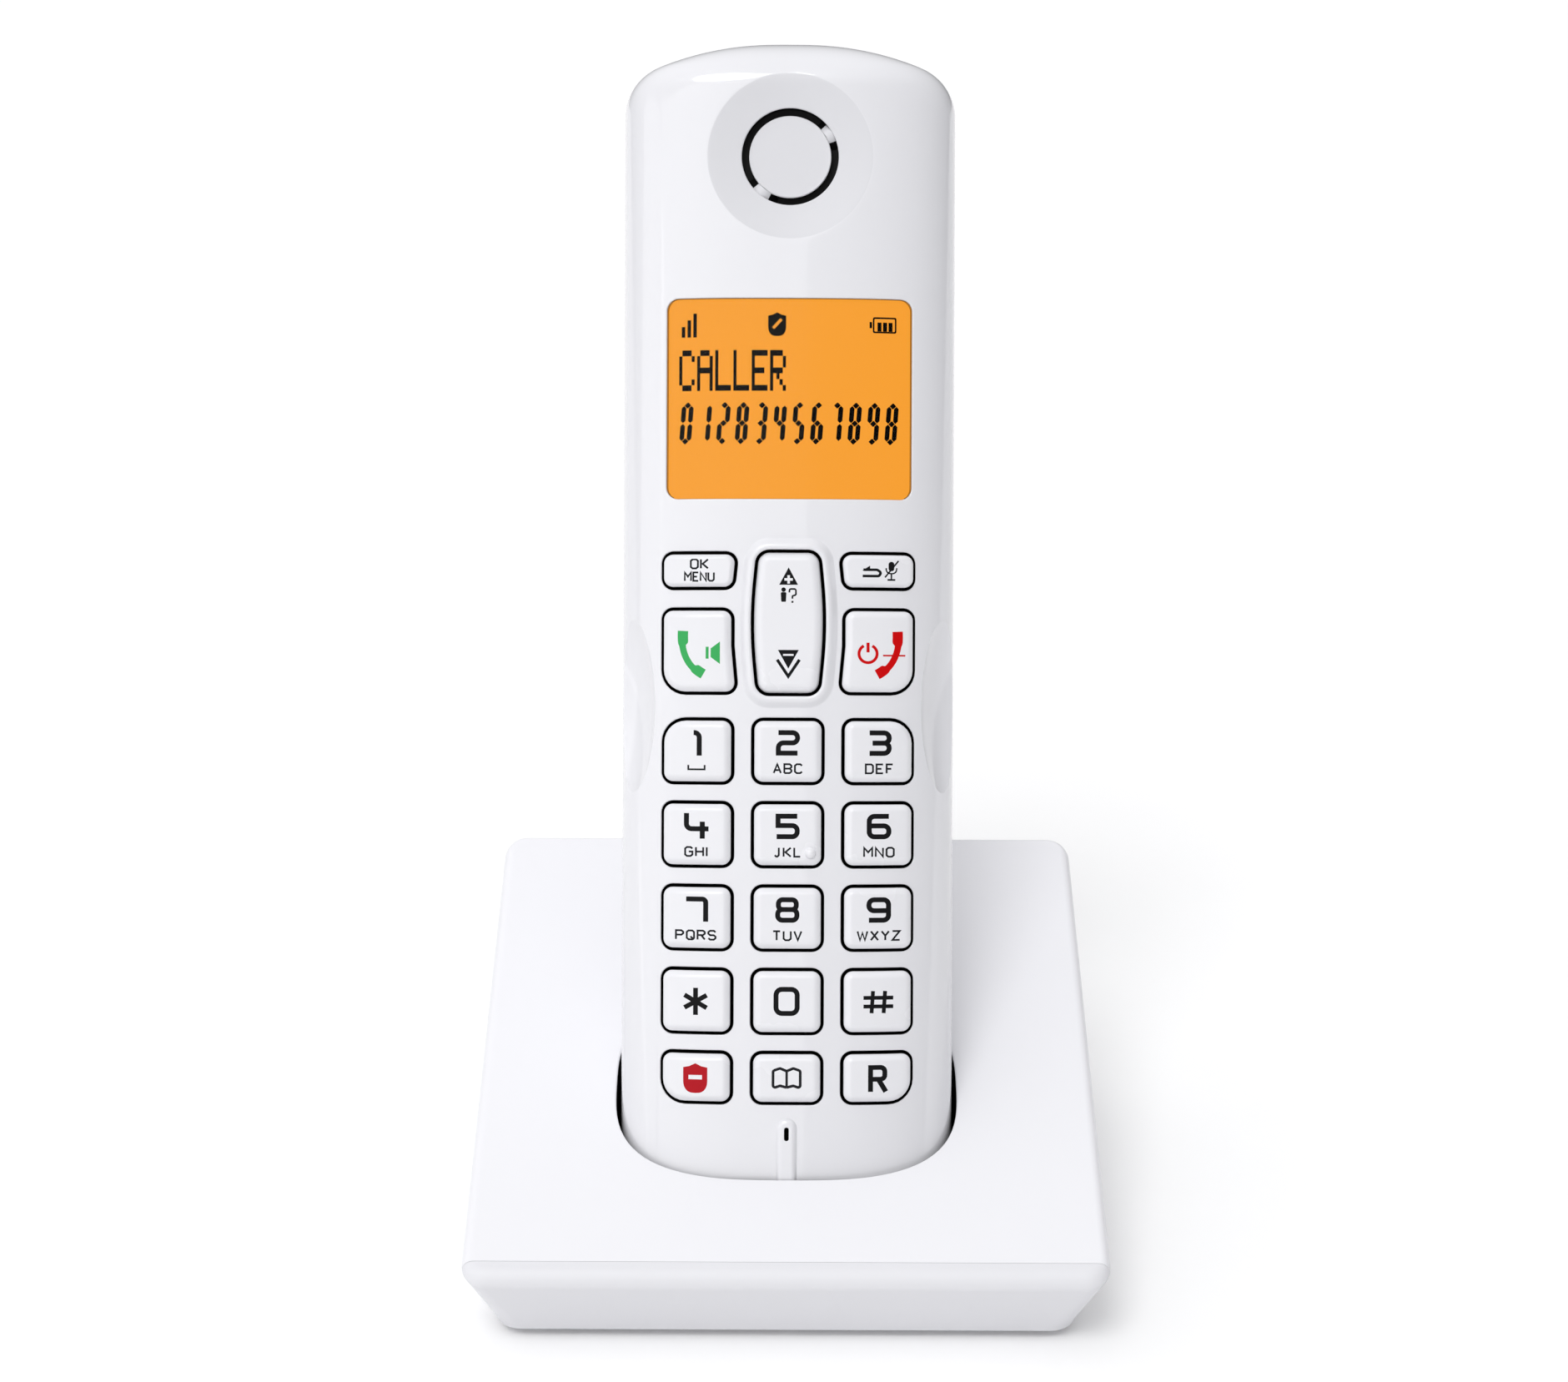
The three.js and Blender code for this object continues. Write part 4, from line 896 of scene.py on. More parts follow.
def key_marks():
    """For each key, lists of (marks, ink) with marks centred on the key."""
    letters = {"2": "ABC", "3": "DEF", "4": "GHI", "5": "JKL", "6": "MNO", "7": "PQRS", "8": "TUV",
               "9": "WXYZ"}
    marks = {}
    for label in "123456789":
        high = 1.25 if label != "1" else 1.02
        marks["key_" + label] = [(moved(digit(label), 0, high), 2)]
    for label, text in letters.items():
        marks["key_" + label].append((word(text, 0, -2.45, pen=0.27), 3))
    marks["key_1"].append(([stroke([(-1.15, -1.98), (-1.15, -2.62), (1.15, -2.62), (1.15, -1.98)], 0.26)], 3))
    marks["key_0"] = [(moved(digit("0"), -0.05, 0.12), 2)]
    arms = [stroke([(-1.78 * math.cos(a), -1.95 * math.sin(a)),
                    (1.78 * math.cos(a), 1.95 * math.sin(a))], 0.68)
            for a in (math.radians(90), math.radians(28), math.radians(152))]
    marks["key_star"] = [(arms, 2)]
    bars = [stroke([(-2.1, z), (2.1, z)], 0.56) for z in (-0.62, 0.62)]
    bars += [stroke([(x - 0.1, -1.6), (x + 0.1, 1.6)], 0.56) for x in (-0.85, 0.85)]
    marks["key_hash"] = [(bars, 2)]
    bold_r = [stroke([(-1.05, -1.9), (-1.05, 1.6), (0.95, 1.6), (0.95, -0.1), (-1.05, -0.1)], 0.7,
                     [0, 0, 0.6, 0.6, 0]),
              stroke([(0.05, -0.1), (1.1, -1.9)], 0.72)]
    marks["key_recall"] = [(bold_r, 2)]
    page = [stroke([(0, -1.25), (-0.95, -1.0), (-1.95, -1.35), (-1.95, 1.15), (-0.95, 1.5), (0, 1.1)],
                   0.4, 0.3),
            stroke([(0, -1.25), (0.95, -1.0), (1.95, -1.35), (1.95, 1.15), (0.95, 1.5), (0, 1.1)], 0.4, 0.3),
            stroke([(0, -1.35), (0, 1.2)], 0.36)]
    marks["key_phonebook"] = [(page, 3)]
    sign = [[shield(3.4, 4.2), stroke([(-0.95, 0.1), (0.95, 0.1)], 0.62)[0]]]
    marks["key_block"] = [(sign, 6)]
    cone = polygon((1.68, -0.86), (3.0, -1.86), (3.0, 1.38), (1.68, 0.38))
    bar = polygon((0.98, -1.1), (1.4, -1.1), (1.4, 0.62), (0.98, 0.62))
    marks["key_talk"] = [(moved(handset_mark(), 0.3, -0.1) + [cone, bar], 4)]
    ring = [stroke([(1.28 * math.cos(a) - 1.4, 1.28 * math.sin(a) - 0.3)
                    for a in np.linspace(math.radians(118), math.radians(422), 30)], 0.42),
            stroke([(-1.4, -0.1), (-1.4, 1.3)], 0.44)]
    across = [stroke([(0.72, -0.55), (3.85, -0.55)], 0.24)]
    marks["key_end"] = [(moved(handset_mark(), 0.25, -0.1, 1.0, -1) + ring + across, 5)]
    menu = (word("OK", 0.05, 0.94, 1.3, 1.0, 0.27, 0.42)
            + word("MENU", 0.05, -0.9, 1.2, 0.78, 0.26, 0.32))
    marks["key_ok_menu"] = [(menu, 3)]
    back = [stroke([(-2.1, 0.18), (-0.15, 0.18), (0.42, -0.2), (0.1, -0.72), (-2.2, -0.72)], 0.38,
                   [0, 0.4, 0.3, 0.3, 0]),
            polygon((-2.3, 0.05), (-1.15, 0.05), (-1.15, 0.78))]
    mic = [[rounded([(1.45, 0.0), (2.25, 0.0), (2.25, 1.35), (1.45, 1.35)], [0.36] * 4, 0.3, 5)[0]],
           stroke([(1.12, 0.45), (1.12, -0.35), (2.58, -0.35), (2.58, 0.45)], 0.2, 0.6),
           stroke([(1.85, -0.35), (1.85, -1.2)], 0.22), stroke([(1.3, -1.25), (2.4, -1.25)], 0.26),
           stroke([(0.95, -0.9), (2.85, 1.5)], 0.22)]
    marks["key_back_mute"] = [(back + mic, 2)]
    plus = np.array([(-0.18, 0), (0.18, 0), (0.18, 0.42), (0.6, 0.42), (0.6, 0.78), (0.18, 0.78), (0.18, 1.2),
                     (-0.18, 1.2), (-0.18, 0.78), (-0.6, 0.78), (-0.6, 0.42), (-0.18, 0.42)]) + [0, 5.62]
    up = [np.array([(-1.35, 5.45), (1.35, 5.45), (0, 7.95)]), plus]
    person = [[circle(-0.72, 4.75, 0.33, 14)[0]],
              [rounded([(-1.05, 3.0), (-0.38, 3.0), (-0.3, 4.4), (-1.13, 4.4)],
                       [0.12, 0.12, 0.2, 0.2], 0.4, 4)[0]],
              stroke([(0.12, 4.35), (0.12, 4.85), (1.05, 4.85), (1.05, 4.0), (0.55, 3.85), (0.55, 3.45)],
                     0.25, [0, 0.25, 0.25, 0.2, 0.15, 0]),
              polygon((0.42, 2.86), (0.7, 2.86), (0.7, 3.14), (0.42, 3.14))]
    minus = np.array([(-0.75, -4.75), (0.75, -4.75), (0.75, -4.48), (-0.75, -4.48)])
    down = [np.array([(-1.5, -3.9), (0, -6.6), (1.5, -3.9)]), minus]
    chevron = stroke([(-1.6, -5.3), (0, -7.7), (1.6, -5.3)], 0.44)
    marks["key_navigation"] = [([up, down, chevron] + person, 2)]
    return marks


def inked(points, triangles, marks, slots):
    """The slot of each triangle: that of the mark it lies in, or 0."""
    middles = points[triangles].mean(1)
    result = np.zeros(len(triangles), int)
    for loops, slot in zip(marks, slots):
        odd = np.zeros(len(triangles), bool)
        for loop in loops:
            odd ^= inside(middles, loop)
        result[odd] = slot
    return result


# ---------------------------------------------------------------------------------------------
# Key caps: a white cap with pillowed edges on a black rubber skirt
# ---------------------------------------------------------------------------------------------

KEY_BOTTOM = -7.55
DOT_R, DOT_POINTS = 0.82, 28         # the raised dot on the 5 key
KEY_INKS = [key_white, rubber_and_shade_black, ink_black, ink_grey, ink_green, ink_red, ink_dark_red]
PILLOW = [(0.0, -0.10), (0.0, 0.04), (0.02, 0.14), (0.08, 0.27), (0.20, 0.42), (0.36, 0.56), (0.54, 0.68),
          (0.74, 0.785), (0.94, 0.855), (1.12, 0.89), (1.3, 0.90)]


def key_cap(name, outline, gap, proud, middle, marks, bevel=1.0, dot=None):
    """One key: its skirt, its pillowed edge, and its top with the marks set in as other slots."""
    skin = Skin()
    foot = on_face(grown(outline, -gap), 0.0)
    foot[:, 1] = KEY_BOTTOM
    rings = [foot] + [on_face(grown(outline, -gap - inset * bevel), height * proud / 0.9)
                      for inset, height in PILLOW]
    skin.rings(rings, [1, 1] + [0] * (len(rings) - 3))
    below = np.stack([foot[:, 0], foot[:, 2]], 1)
    points, triangles = fill(below)
    flat = np.stack([points[:, 0], np.full(len(points), KEY_BOTTOM), points[:, 1]], 1)
    skin.add(flat, [0, 1, 0], triangles[:, ::-1], 1)
    edge = grown(outline, -gap - PILLOW[-1][0] * bevel)
    loops, slots = [], []
    for group, slot in marks:
        for mark in moved(group, *middle):
            loops.append(mark)
            slots.append(slot)
    lines = [loop for mark in loops for loop in mark]
    holes = []
    if dot is not None:
        holes = [circle(*dot, DOT_R, DOT_POINTS)[0]]
    low, high = edge.min(0), edge.max(0)
    spots = grid_spots(np.arange(low[0], high[0], 1.1), np.arange(low[1], high[1], 1.6))
    points, triangles = fill(edge, holes, lines, spots, 0.3)
    place = located(points)
    height = np.full(len(points), proud)
    skin.add(raised(place[:, 0], place[:, 1], height), facing(plain, place[:, 0], place[:, 1]),
             triangles, inked(points, triangles, loops, slots))
    if dot is not None:
        rings = [on_face(circle(*dot, DOT_R * math.cos(a), DOT_POINTS)[0], proud + 0.8 * math.sin(a))
                 for a in np.linspace(0, math.pi / 2 - 0.01, 8)]
        skin.rings(rings, ends=[0, -1, 0])
        tip = rings[-1]
        skin.add(np.vstack([tip, tip.mean(0)]), [0, -1, 0],
                 [(i, (i + 1) % DOT_POINTS, DOT_POINTS) for i in range(DOT_POINTS)])
    piece = skin.build(name.replace("key_", "keycap_"), KEY_INKS, HANDSET)
    finish_piece(piece, name, "key_cap", name)


MARKS = key_marks()
for name, outline in KEYS.items():
    low, high = outline[0].min(0), outline[0].max(0)
    middle = (low + high) / 2
    if name in ("key_talk", "key_end", "key_ok_menu", "key_back_mute"):
        big = "talk" in name or "end" in name
        middle = (CALL_X * (1 if middle[0] > 0 else -1), CALL_Z if big else SOFT_Z)
    dot = (3.25, ROW_1_Z - ROW - 2.55) if name == "key_5" else None
    bevel = 0.5 if name in ("key_ok_menu", "key_back_mute") else 0.8
    key_cap(name, outline, SLOT, 0.9, middle, MARKS[name], bevel, dot)
key_cap("key_navigation", ROCKER, 0, 1.1, (0, NAV_Z), MARKS["key_navigation"])

# ---------------------------------------------------------------------------------------------
# Display: an orange backlit panel with its dark segments, under a clear curved lens
# ---------------------------------------------------------------------------------------------

PANEL_DEPTH, LENS_THICK = 0.62, 0.5


def glowing(name, color):
    """The lit panel: an even glow with the faint cloudiness of its diffuser."""
    made = bpy.data.materials.new(name)
    made.use_nodes = True
    nodes, links = made.node_tree.nodes, made.node_tree.links
    shader = nodes["Principled BSDF"]
    shader.inputs["Base Color"].default_value = (0.02, 0.008, 0.001, 1)
    shader.inputs["Roughness"].default_value = 0.6
    shader.inputs["Specular IOR Level"].default_value = 0.1
    shader.inputs["Emission Strength"].default_value = 1.0
    where = nodes.new("ShaderNodeTexCoord")
    cloud = nodes.new("ShaderNodeTexNoise")
    cloud.inputs["Scale"].default_value = 90
    links.new(where.outputs["Object"], cloud.inputs["Vector"])
    shade = nodes.new("ShaderNodeMix")
    shade.data_type = "RGBA"
    shade.inputs["A"].default_value = [c * 0.985 for c in color] + [1]
    shade.inputs["B"].default_value = [c * 1.015 for c in color] + [1]
    links.new(cloud.outputs["Fac"], shade.inputs["Factor"])
    links.new(shade.outputs["Result"], shader.inputs["Emission Color"])
    return made


def clear(name):
    """A clear hard-coated window: see-through, with a thin reflection."""
    made = bpy.data.materials.new(name)
    made.use_nodes = True
    nodes, links = made.node_tree.nodes, made.node_tree.links
    nodes.clear()
    out = nodes.new("ShaderNodeOutputMaterial")
    through = nodes.new("ShaderNodeBsdfTransparent")
    through.inputs["Color"].default_value = (0.99, 0.99, 0.985, 1)
    gloss = nodes.new("ShaderNodeBsdfGlossy")
    gloss.inputs["Roughness"].default_value = 0.12
    gloss.inputs["Color"].default_value = (0.5, 0.5, 0.5, 1)
    edge = nodes.new("ShaderNodeFresnel")
    edge.inputs["IOR"].default_value = 1.2
    wear = nodes.new("ShaderNodeTexNoise")
    wear.inputs["Scale"].default_value = 900
    where = nodes.new("ShaderNodeTexCoord")
    bump = nodes.new("ShaderNodeBump")
    bump.inputs["Distance"].default_value = 0.000002
    links.new(where.outputs["Object"], wear.inputs["Vector"])
    links.new(wear.outputs["Fac"], bump.inputs["Height"])
    links.new(bump.outputs[0], gloss.inputs["Normal"])
    both = nodes.new("ShaderNodeMixShader")
    links.new(edge.outputs[0], both.inputs[0])
    links.new(through.outputs[0], both.inputs[1])
    links.new(gloss.outputs[0], both.inputs[2])
    links.new(both.outputs[0], out.inputs["Surface"])
    return made


# Five dots across and seven down for each letter, one text row per dot row.
DOTS = {
    "C": "01110 10001 10000 10000 10000 10001 01110", "A": "01110 10001 10001 11111 10001 10001 10001",
    "L": "10000 10000 10000 10000 10000 10000 11111", "E": "11111 10000 10000 11110 10000 10000 11111",
    "R": "11110 10001 10001 11110 10100 10010 10001",
}
SEGMENTS = {"0": "abcdef", "1": "bc", "2": "abged", "3": "abgcd", "4": "fgbc", "5": "afgcd", "6": "afgedc",
            "7": "abc", "8": "abcdefg", "9": "abcdfg"}


def dot_letters(text, left, top):
    wide, tall, pitch = 0.46, 0.84, 2.66
    marks = []
    for i, letter in enumerate(text):
        for row, dots in enumerate(DOTS[letter].split()):
            for column, dot in enumerate(dots):
                if dot == "1":
                    x, z = left + i * pitch + column * wide, top - row * tall
                    marks.append(polygon((x, z - tall), (x + wide, z - tall), (x + wide, z), (x, z)))
    return marks


def segment_digit(label, left, low):
    """A slanted seven-segment digit."""
    wide, tall, flat, thin, slant, space = 1.78, 6.0, 0.82, 0.7, 0.075, 0.05
    half = tall / 2

    def bar(x0, z0, x1, z1):
        """A pointed segment between two places."""
        level = z0 == z1
        thick = (flat if level else thin) / 2
        if level:
            x0, x1 = x0 + space, x1 - space
            points = [(x0, z0), (x0 + thick, z0 - thick), (x1 - thick, z0 - thick), (x1, z0),
                      (x1 - thick, z0 + thick), (x0 + thick, z0 + thick)]
        else:
            z0, z1 = z0 + space, z1 - space
            points = [(x0, z0), (x0 + thick, z0 + thick), (x0 + thick, z1 - thick), (x0, z1),
                      (x0 - thick, z1 - thick), (x0 - thick, z0 + thick)]
        return polygon(*[(left + x + z * slant, low + z) for x, z in points])

    low_z, high_z, low_x, high_x = flat / 2, tall - flat / 2, thin / 2, wide - thin / 2
    places = {"a": (low_x, high_z, high_x, high_z), "g": (low_x, half, high_x, half),
              "d": (low_x, low_z, high_x, low_z),
              "f": (low_x, half, low_x, high_z), "b": (high_x, half, high_x, high_z),
              "e": (low_x, low_z, low_x, half), "c": (high_x, low_z, high_x, half)}
    return [bar(*places[segment]) for segment in SEGMENTS[label]]


def display_marks():
    marks = dot_letters("CALLER", -16.1, 124.05)
    for i, label in enumerate("012834567898"):
        marks += segment_digit(label, -16.1 + i * 2.72, 110.5)
    for i in range(3):
        x, top = -15.75 + i * 0.86, 127.45 + i * 0.95
        marks.append(polygon((x, 125.9), (x + 0.52, 125.9), (x + 0.52, top), (x, top)))
    guard = moved([[shield(2.6, 3.35)]], -1.8, 127.8)[0]
    guard.append(stroke([(-2.38, 127.2), (-1.18, 128.5)], 0.42)[0])
    marks.append(guard)
    case = [box_outline(13.85, 127.75, wide, tall, corner, 1.0, 3)[0]
            for wide, tall, corner in ((3.5, 2.3, 0.25), (3.02, 1.82, 0.12))]
    marks.append(case)
    marks.append(polygon((11.62, 127.3), (11.98, 127.3), (11.98, 128.2), (11.62, 128.2)))
    marks += [polygon((x, 126.85), (x + 0.6, 126.85), (x + 0.6, 128.15), (x, 128.15))
              for x in (12.78, 13.6, 14.42)]
    return marks


def display():
    panel = Skin()
    edge = grown(WINDOW, -0.06)
    marks = display_marks()
    lines = [loop for mark in marks for loop in mark]
    spots = grid_spots(np.arange(-17, 18, 1.4), np.arange(103, 131, 2.0))
    points, triangles = fill(edge, (), lines, spots, 0.3)
    place = located(points)
    slots = inked(points, triangles, marks, [1] * len(marks))
    panel.add(raised(place[:, 0], place[:, 1], np.full(len(points), -PANEL_DEPTH)),
              facing(plain, place[:, 0], place[:, 1]), triangles, slots, [0, 2.4, 0], "face")
    orange = glowing("display_orange", (0.945, 0.355, 0.031))
    piece = panel.build("display_panel", [orange, segment_black], HANDSET)
    finish_piece(piece, "handset", "display_backlight", "lcd_module")

    lens = Skin()
    outline = (WINDOW[0] - WINDOW[1] * 0.07, WINDOW[1])
    rings = [on_face(grown(outline, 0), -LENS_THICK), on_face(grown(outline, 0), -0.12)]
    rings += [on_face(grown(outline, -0.12 * (1 - math.cos(a))), -0.12 * (1 - math.sin(a)))
              for a in np.linspace(0.3, math.pi / 2, 5)]
    lens.rings(rings)
    for inset, height, turn in ((-0.12, 0.0, 1), (0.0, -LENS_THICK, -1)):
        spots = grid_spots(np.arange(-17, 18, 1.2), np.arange(103, 131, 2.0))
        points, triangles = fill(grown(outline, inset), (), (), spots, 0.3)
        place = located(points)
        lens.add(raised(place[:, 0], place[:, 1], np.full(len(points), height)),
                 turn * facing(plain, place[:, 0], place[:, 1]), triangles[:, ::turn])
    piece = lens.build("display_window", [clear("window_clear")], HANDSET)
    finish_piece(piece, "handset", "display_lens", "display_lens")


display()

# ---------------------------------------------------------------------------------------------
# Rear shell and battery door. They are drawn as the face is, and turned half round at the end.
# ---------------------------------------------------------------------------------------------

REAR = HANDSET @ Matrix.Rotation(math.pi, 4, "Z")
DOOR = box_outline(0, 69.0, 34.0, 70.0, 3.0, step=1.0, arc=8)
LEDGE_Y, BAY_FLOOR_Y = -9.0, 0.4
BAY = box_outline(0, 68.5, 22.8, 50.0, 0.8, step=2.0, arc=3)


def locate_end(x, y):
    """The place on the rounded bottom end that is at x and y."""
    low, high = np.zeros(len(x)), np.full(len(x), END_R)
    for _ in range(30):
        grow = (low + high) / 2
        value = (np.abs(x) / (HALF_W - END_R + grow)) ** 3 + (np.abs(y) / (HALF_D - END_R + grow)) ** 3
        low, high = np.where(value > 1, grow, low), np.where(value > 1, high, grow)
    flat = ((np.abs(x) / (HALF_W - END_R)) ** 3 + (np.abs(y) / (HALF_D - END_R)) ** 3) ** (1 / 3)
    on_flat = flat < 1
    p = np.where(on_flat, FOOT_P - (HALF_D - END_R) * (1 - flat), END_R - END_R * np.arccos(low / END_R))
    width, depth, _ = profile(p)
    ratio = np.arctan2(np.abs(x) / width, np.abs(y) / depth)
    table = np.arctan2(TABLE_X[:QUARTER], -TABLE_Y[:QUARTER])
    return np.stack([np.sign(x) * np.interp(ratio, table, TABLE_S[:QUARTER]), p], 1)


def cut(skin, loop_at, radius, height=0.0, way=None, steps=3):
    """An opening's rounded edge: rings from the surface down, through places given by loop_at(grow)."""
    rings = []
    for k in range(steps + 1):
        angle = math.pi / 2 * k / steps
        spots = loop_at(radius * (1 - math.sin(angle)))
        level = np.full(len(spots), height - radius * (1 - math.cos(angle)))
        rings.append(raised(spots[:, 0], spots[:, 1], level))
    spots = loop_at(radius)
    skin.rings(rings, starts=facing(plain, spots[:, 0], spots[:, 1]), inward=way, group="face")


def wall(skin, top, bottom, thick, group, slot=0):
    """A straight wall down from one loop of points to another, thickened away from the opening."""
    out = np.roll(top, -1, 0) - np.roll(top, 1, 0)
    away = unit(np.stack([out[:, 2], np.zeros(len(out)), -out[:, 0]], 1)) * thick
    skin.rings([top, (top + bottom) / 2, bottom], slot, inward=away, group=group)


def rear_shell():
    skin = Skin()
    edge = shell_edge(-(SPLIT + SEAM), ROWS)
    reach = edge > 0.01
    first, last = np.nonzero(reach)[0][[0, -1]]
    rows, edge = ROWS[first - 1:last + 2], edge[first - 1:last + 2].copy()
    edge[[0, -1]] = 0
    outer = np.concatenate([np.stack([edge, rows], 1), np.stack([-edge, rows], 1)[::-1][1:-1]])
    outer = subdivided(outer, np.ones_like(outer), 1.2)[0]

    slots = [box_outline(0, 138.0 + (i - 2) * 2.4, 12.0, 1.1, 0.54, step=0.6, arc=5) for i in range(5)]
    contacts = [box_outline(side * 9.0, -6.0, 4.4, 5.0, 0.7, step=0.4, arc=4) for side in (-1, 1)]

    def contact_at(outline):
        return lambda grow: (lambda o: locate_end(o[:, 0], o[:, 1]))(grown((outline[0], outline[1]), grow))

    door_r = 0.25
    door = located(grown(DOOR, 0.13 + door_r))
    holes = [door] + [located(grown(slot, 0.12)) for slot in slots]
    holes += [contact_at(c)(0.15)[::-1] for c in contacts]
    columns = np.concatenate([np.arange(0, 15, 1.5), np.arange(15, S_SPLIT, 0.6)])
    columns = np.concatenate([-columns[:0:-1], columns])
    spots = grid_spots(columns, rows[1:-1])
    spots = spots[np.abs(spots[:, 0]) < np.interp(spots[:, 1], rows, edge) - 0.3]
    points, triangles = fill(outer, holes, (), spots, 0.3)
    normal = facing(plain, points[:, 0], points[:, 1])
    skin.add(plain(points[:, 0], points[:, 1]), normal, triangles, inward=-normal * WALL, group="face")
    deep = np.array([0.0, 1.0, 0.0])
    for slot in slots:
        cut(skin, lambda grow, slot=slot: located(grown(slot, grow)), 0.12, way=deep * WALL)
    for outline in contacts:
        loop_at = contact_at(outline)
        # seen from below, the outline runs the other way round
        cut(skin, lambda grow, loop_at=loop_at: loop_at(grow)[::-1], 0.15, way=np.array([0, 0, 1.0]) * WALL)
    cut(skin, lambda grow: located(grown(DOOR, 0.13 + grow)), door_r, way=deep * WALL, steps=4)

    top = on_face(grown(DOOR, 0.13), -door_r)
    bottom = top.copy()
    bottom[:, 1] = LEDGE_Y
    wall(skin, top, bottom, 1.5, "recess")
    screws = [circle(side * 12.0, 98.8, 1.4, 24)[0] for side in (-1, 1)]
    ledge = np.stack([bottom[:, 0], bottom[:, 2]], 1)
    points, triangles = fill(ledge, [BAY[0], *screws])
    skin.add(np.stack([points[:, 0], np.full(len(points), LEDGE_Y), points[:, 1]], 1), [0, -1, 0], triangles,
             inward=deep * 1.3, group="ledge")
    top = np.stack([BAY[0][:, 0], np.full(len(BAY[0]), LEDGE_Y), BAY[0][:, 1]], 1)
    bottom = top.copy()
    bottom[:, 1] = BAY_FLOOR_Y
    wall(skin, top, bottom, 1.4, "bay")
    points, triangles = fill(BAY[0], (), (), grid_spots(np.arange(-11, 12, 4.0), np.arange(44, 94, 5.0)), 0.8)
    flat = np.stack([points[:, 0], np.full(len(points), BAY_FLOOR_Y), points[:, 1]], 1)
    skin.add(flat, [0, -1, 0], triangles, inward=deep * 1.4, group="floor")
    return skin


def battery_door():
    skin = Skin()
    thick = 1.5
    rings = [on_face(DOOR[0], -thick), on_face(DOOR[0], -0.3)]
    rings += [on_face(grown(DOOR, -0.3 * (1 - math.cos(a))), -0.3 * (1 - math.sin(a)))
              for a in np.linspace(0.25, math.pi / 2, 6)]
    skin.rings(rings)
    ribs = [box_outline(0, 92.0 - 2.3 * i, 15.0 - 1.6 * i, 0.9, 0.44, step=0.6, arc=5) for i in range(5)]
    spots = grid_spots(np.arange(-17, 18, 0.8), np.arange(36, 104, 3.0))
    points, triangles = fill(grown(DOOR, -0.3), [grown(rib, 0.25) for rib in ribs], (), spots, 0.35)
    place = located(points)
    skin.add(plain(place[:, 0], place[:, 1]), facing(plain, place[:, 0], place[:, 1]), triangles)
    for rib in ribs:
        shape = [(0.25, 0.0), (0.16, -0.03), (0.06, -0.12), (0.0, -0.24), (-0.06, -0.36), (-0.16, -0.44),
                 (-0.3, -0.46)]
        skin.rings([on_face(grown(rib, grow), height) for grow, height in shape])
        points, triangles = fill(grown(rib, -0.3))
        place = located(points)
        skin.add(raised(place[:, 0], place[:, 1], np.full(len(points), -0.46)),
                 facing(plain, place[:, 0], place[:, 1]), triangles)
    points, triangles = fill(DOOR[0], (), (), spots, 0.35)
    place = located(points)
    skin.add(raised(place[:, 0], place[:, 1], np.full(len(points), -thick)),
             -facing(plain, place[:, 0], place[:, 1]), triangles[:, ::-1])
    return skin


piece = rear_shell().build("rear_cover", [rear_white], REAR)
finish_piece(piece, "handset", "handset_rear", "rear_shell")
piece = battery_door().build("battery_cover", [rear_white], REAR)
finish_piece(piece, "battery_door", "handset_rear", "battery_door")

# ---------------------------------------------------------------------------------------------
# The base. A place on its outside is (i, k): i runs round the plan from the back, anticlockwise
# from above, and k runs down from the sloping top over the rounded edge to the floor side.
# ---------------------------------------------------------------------------------------------

BASE_W, BASE_BACK, BASE_R = 45.5, 42.0, 3.5
FOOT_W, FOOT_FRONT, FOOT_BACK, FOOT_R = 41.4, -37.1, 40.2, 4.0
BASE_BOTTOM, SKIRT_Z, SEAM_Y, NOSE_Z = 1.2, 9.0, -38.6, 13.5
SLOPE = math.tan(math.radians(20.8))
SIDE_EDGE, NOSE_EDGE, BACK_EDGE = 1.5, 1.9, 1.0
POCKET_GROW, POCKET_FLOOR, POCKET_LIP = 0.75, -0.5, 0.3
TOP_WALL, POCKET_WALL = 1.6, 1.0
GROOVE = 0.025                       # half the seam between the cover and the lower housing
CORNER_STEPS, BACK_STEPS, SIDE_STEPS = 12, 36, 28


def top_plane(y):
    return NOSE_Z + (y - SEAM_Y) * SLOPE


def plan_ring(half, front, back, corner):
    """The plan's outline: points and outward directions, from just left of the middle of the back."""
    places = [(half - corner, back - corner, 0), (-half + corner, back - corner, 1),
              (-half + corner, front + corner, 2), (half - corner, front + corner, 3)]
    steps = (BACK_STEPS, SIDE_STEPS, BACK_STEPS, SIDE_STEPS)
    points, outward = [], []
    for (x, y, quarter), count in zip(places, steps):
        for j in range(CORNER_STEPS + 1):
            angle = (quarter + j / CORNER_STEPS) * math.pi / 2
            outward.append((math.cos(angle), math.sin(angle)))
            points.append((x + corner * outward[-1][0], y + corner * outward[-1][1]))
        next_x, next_y, _ = places[(quarter + 1) % 4]
        end = np.array([next_x, next_y]) + corner * np.array(outward[-1])
        start = np.array(points[-1])
        for j in range(1, count):
            points.append(tuple(start + (end - start) * j / count))
            outward.append(outward[-1])
    turn = -(CORNER_STEPS + 1 + int(BACK_STEPS * 0.62))
    return np.roll(np.array(points), turn, 0), np.roll(np.array(outward), turn, 0)


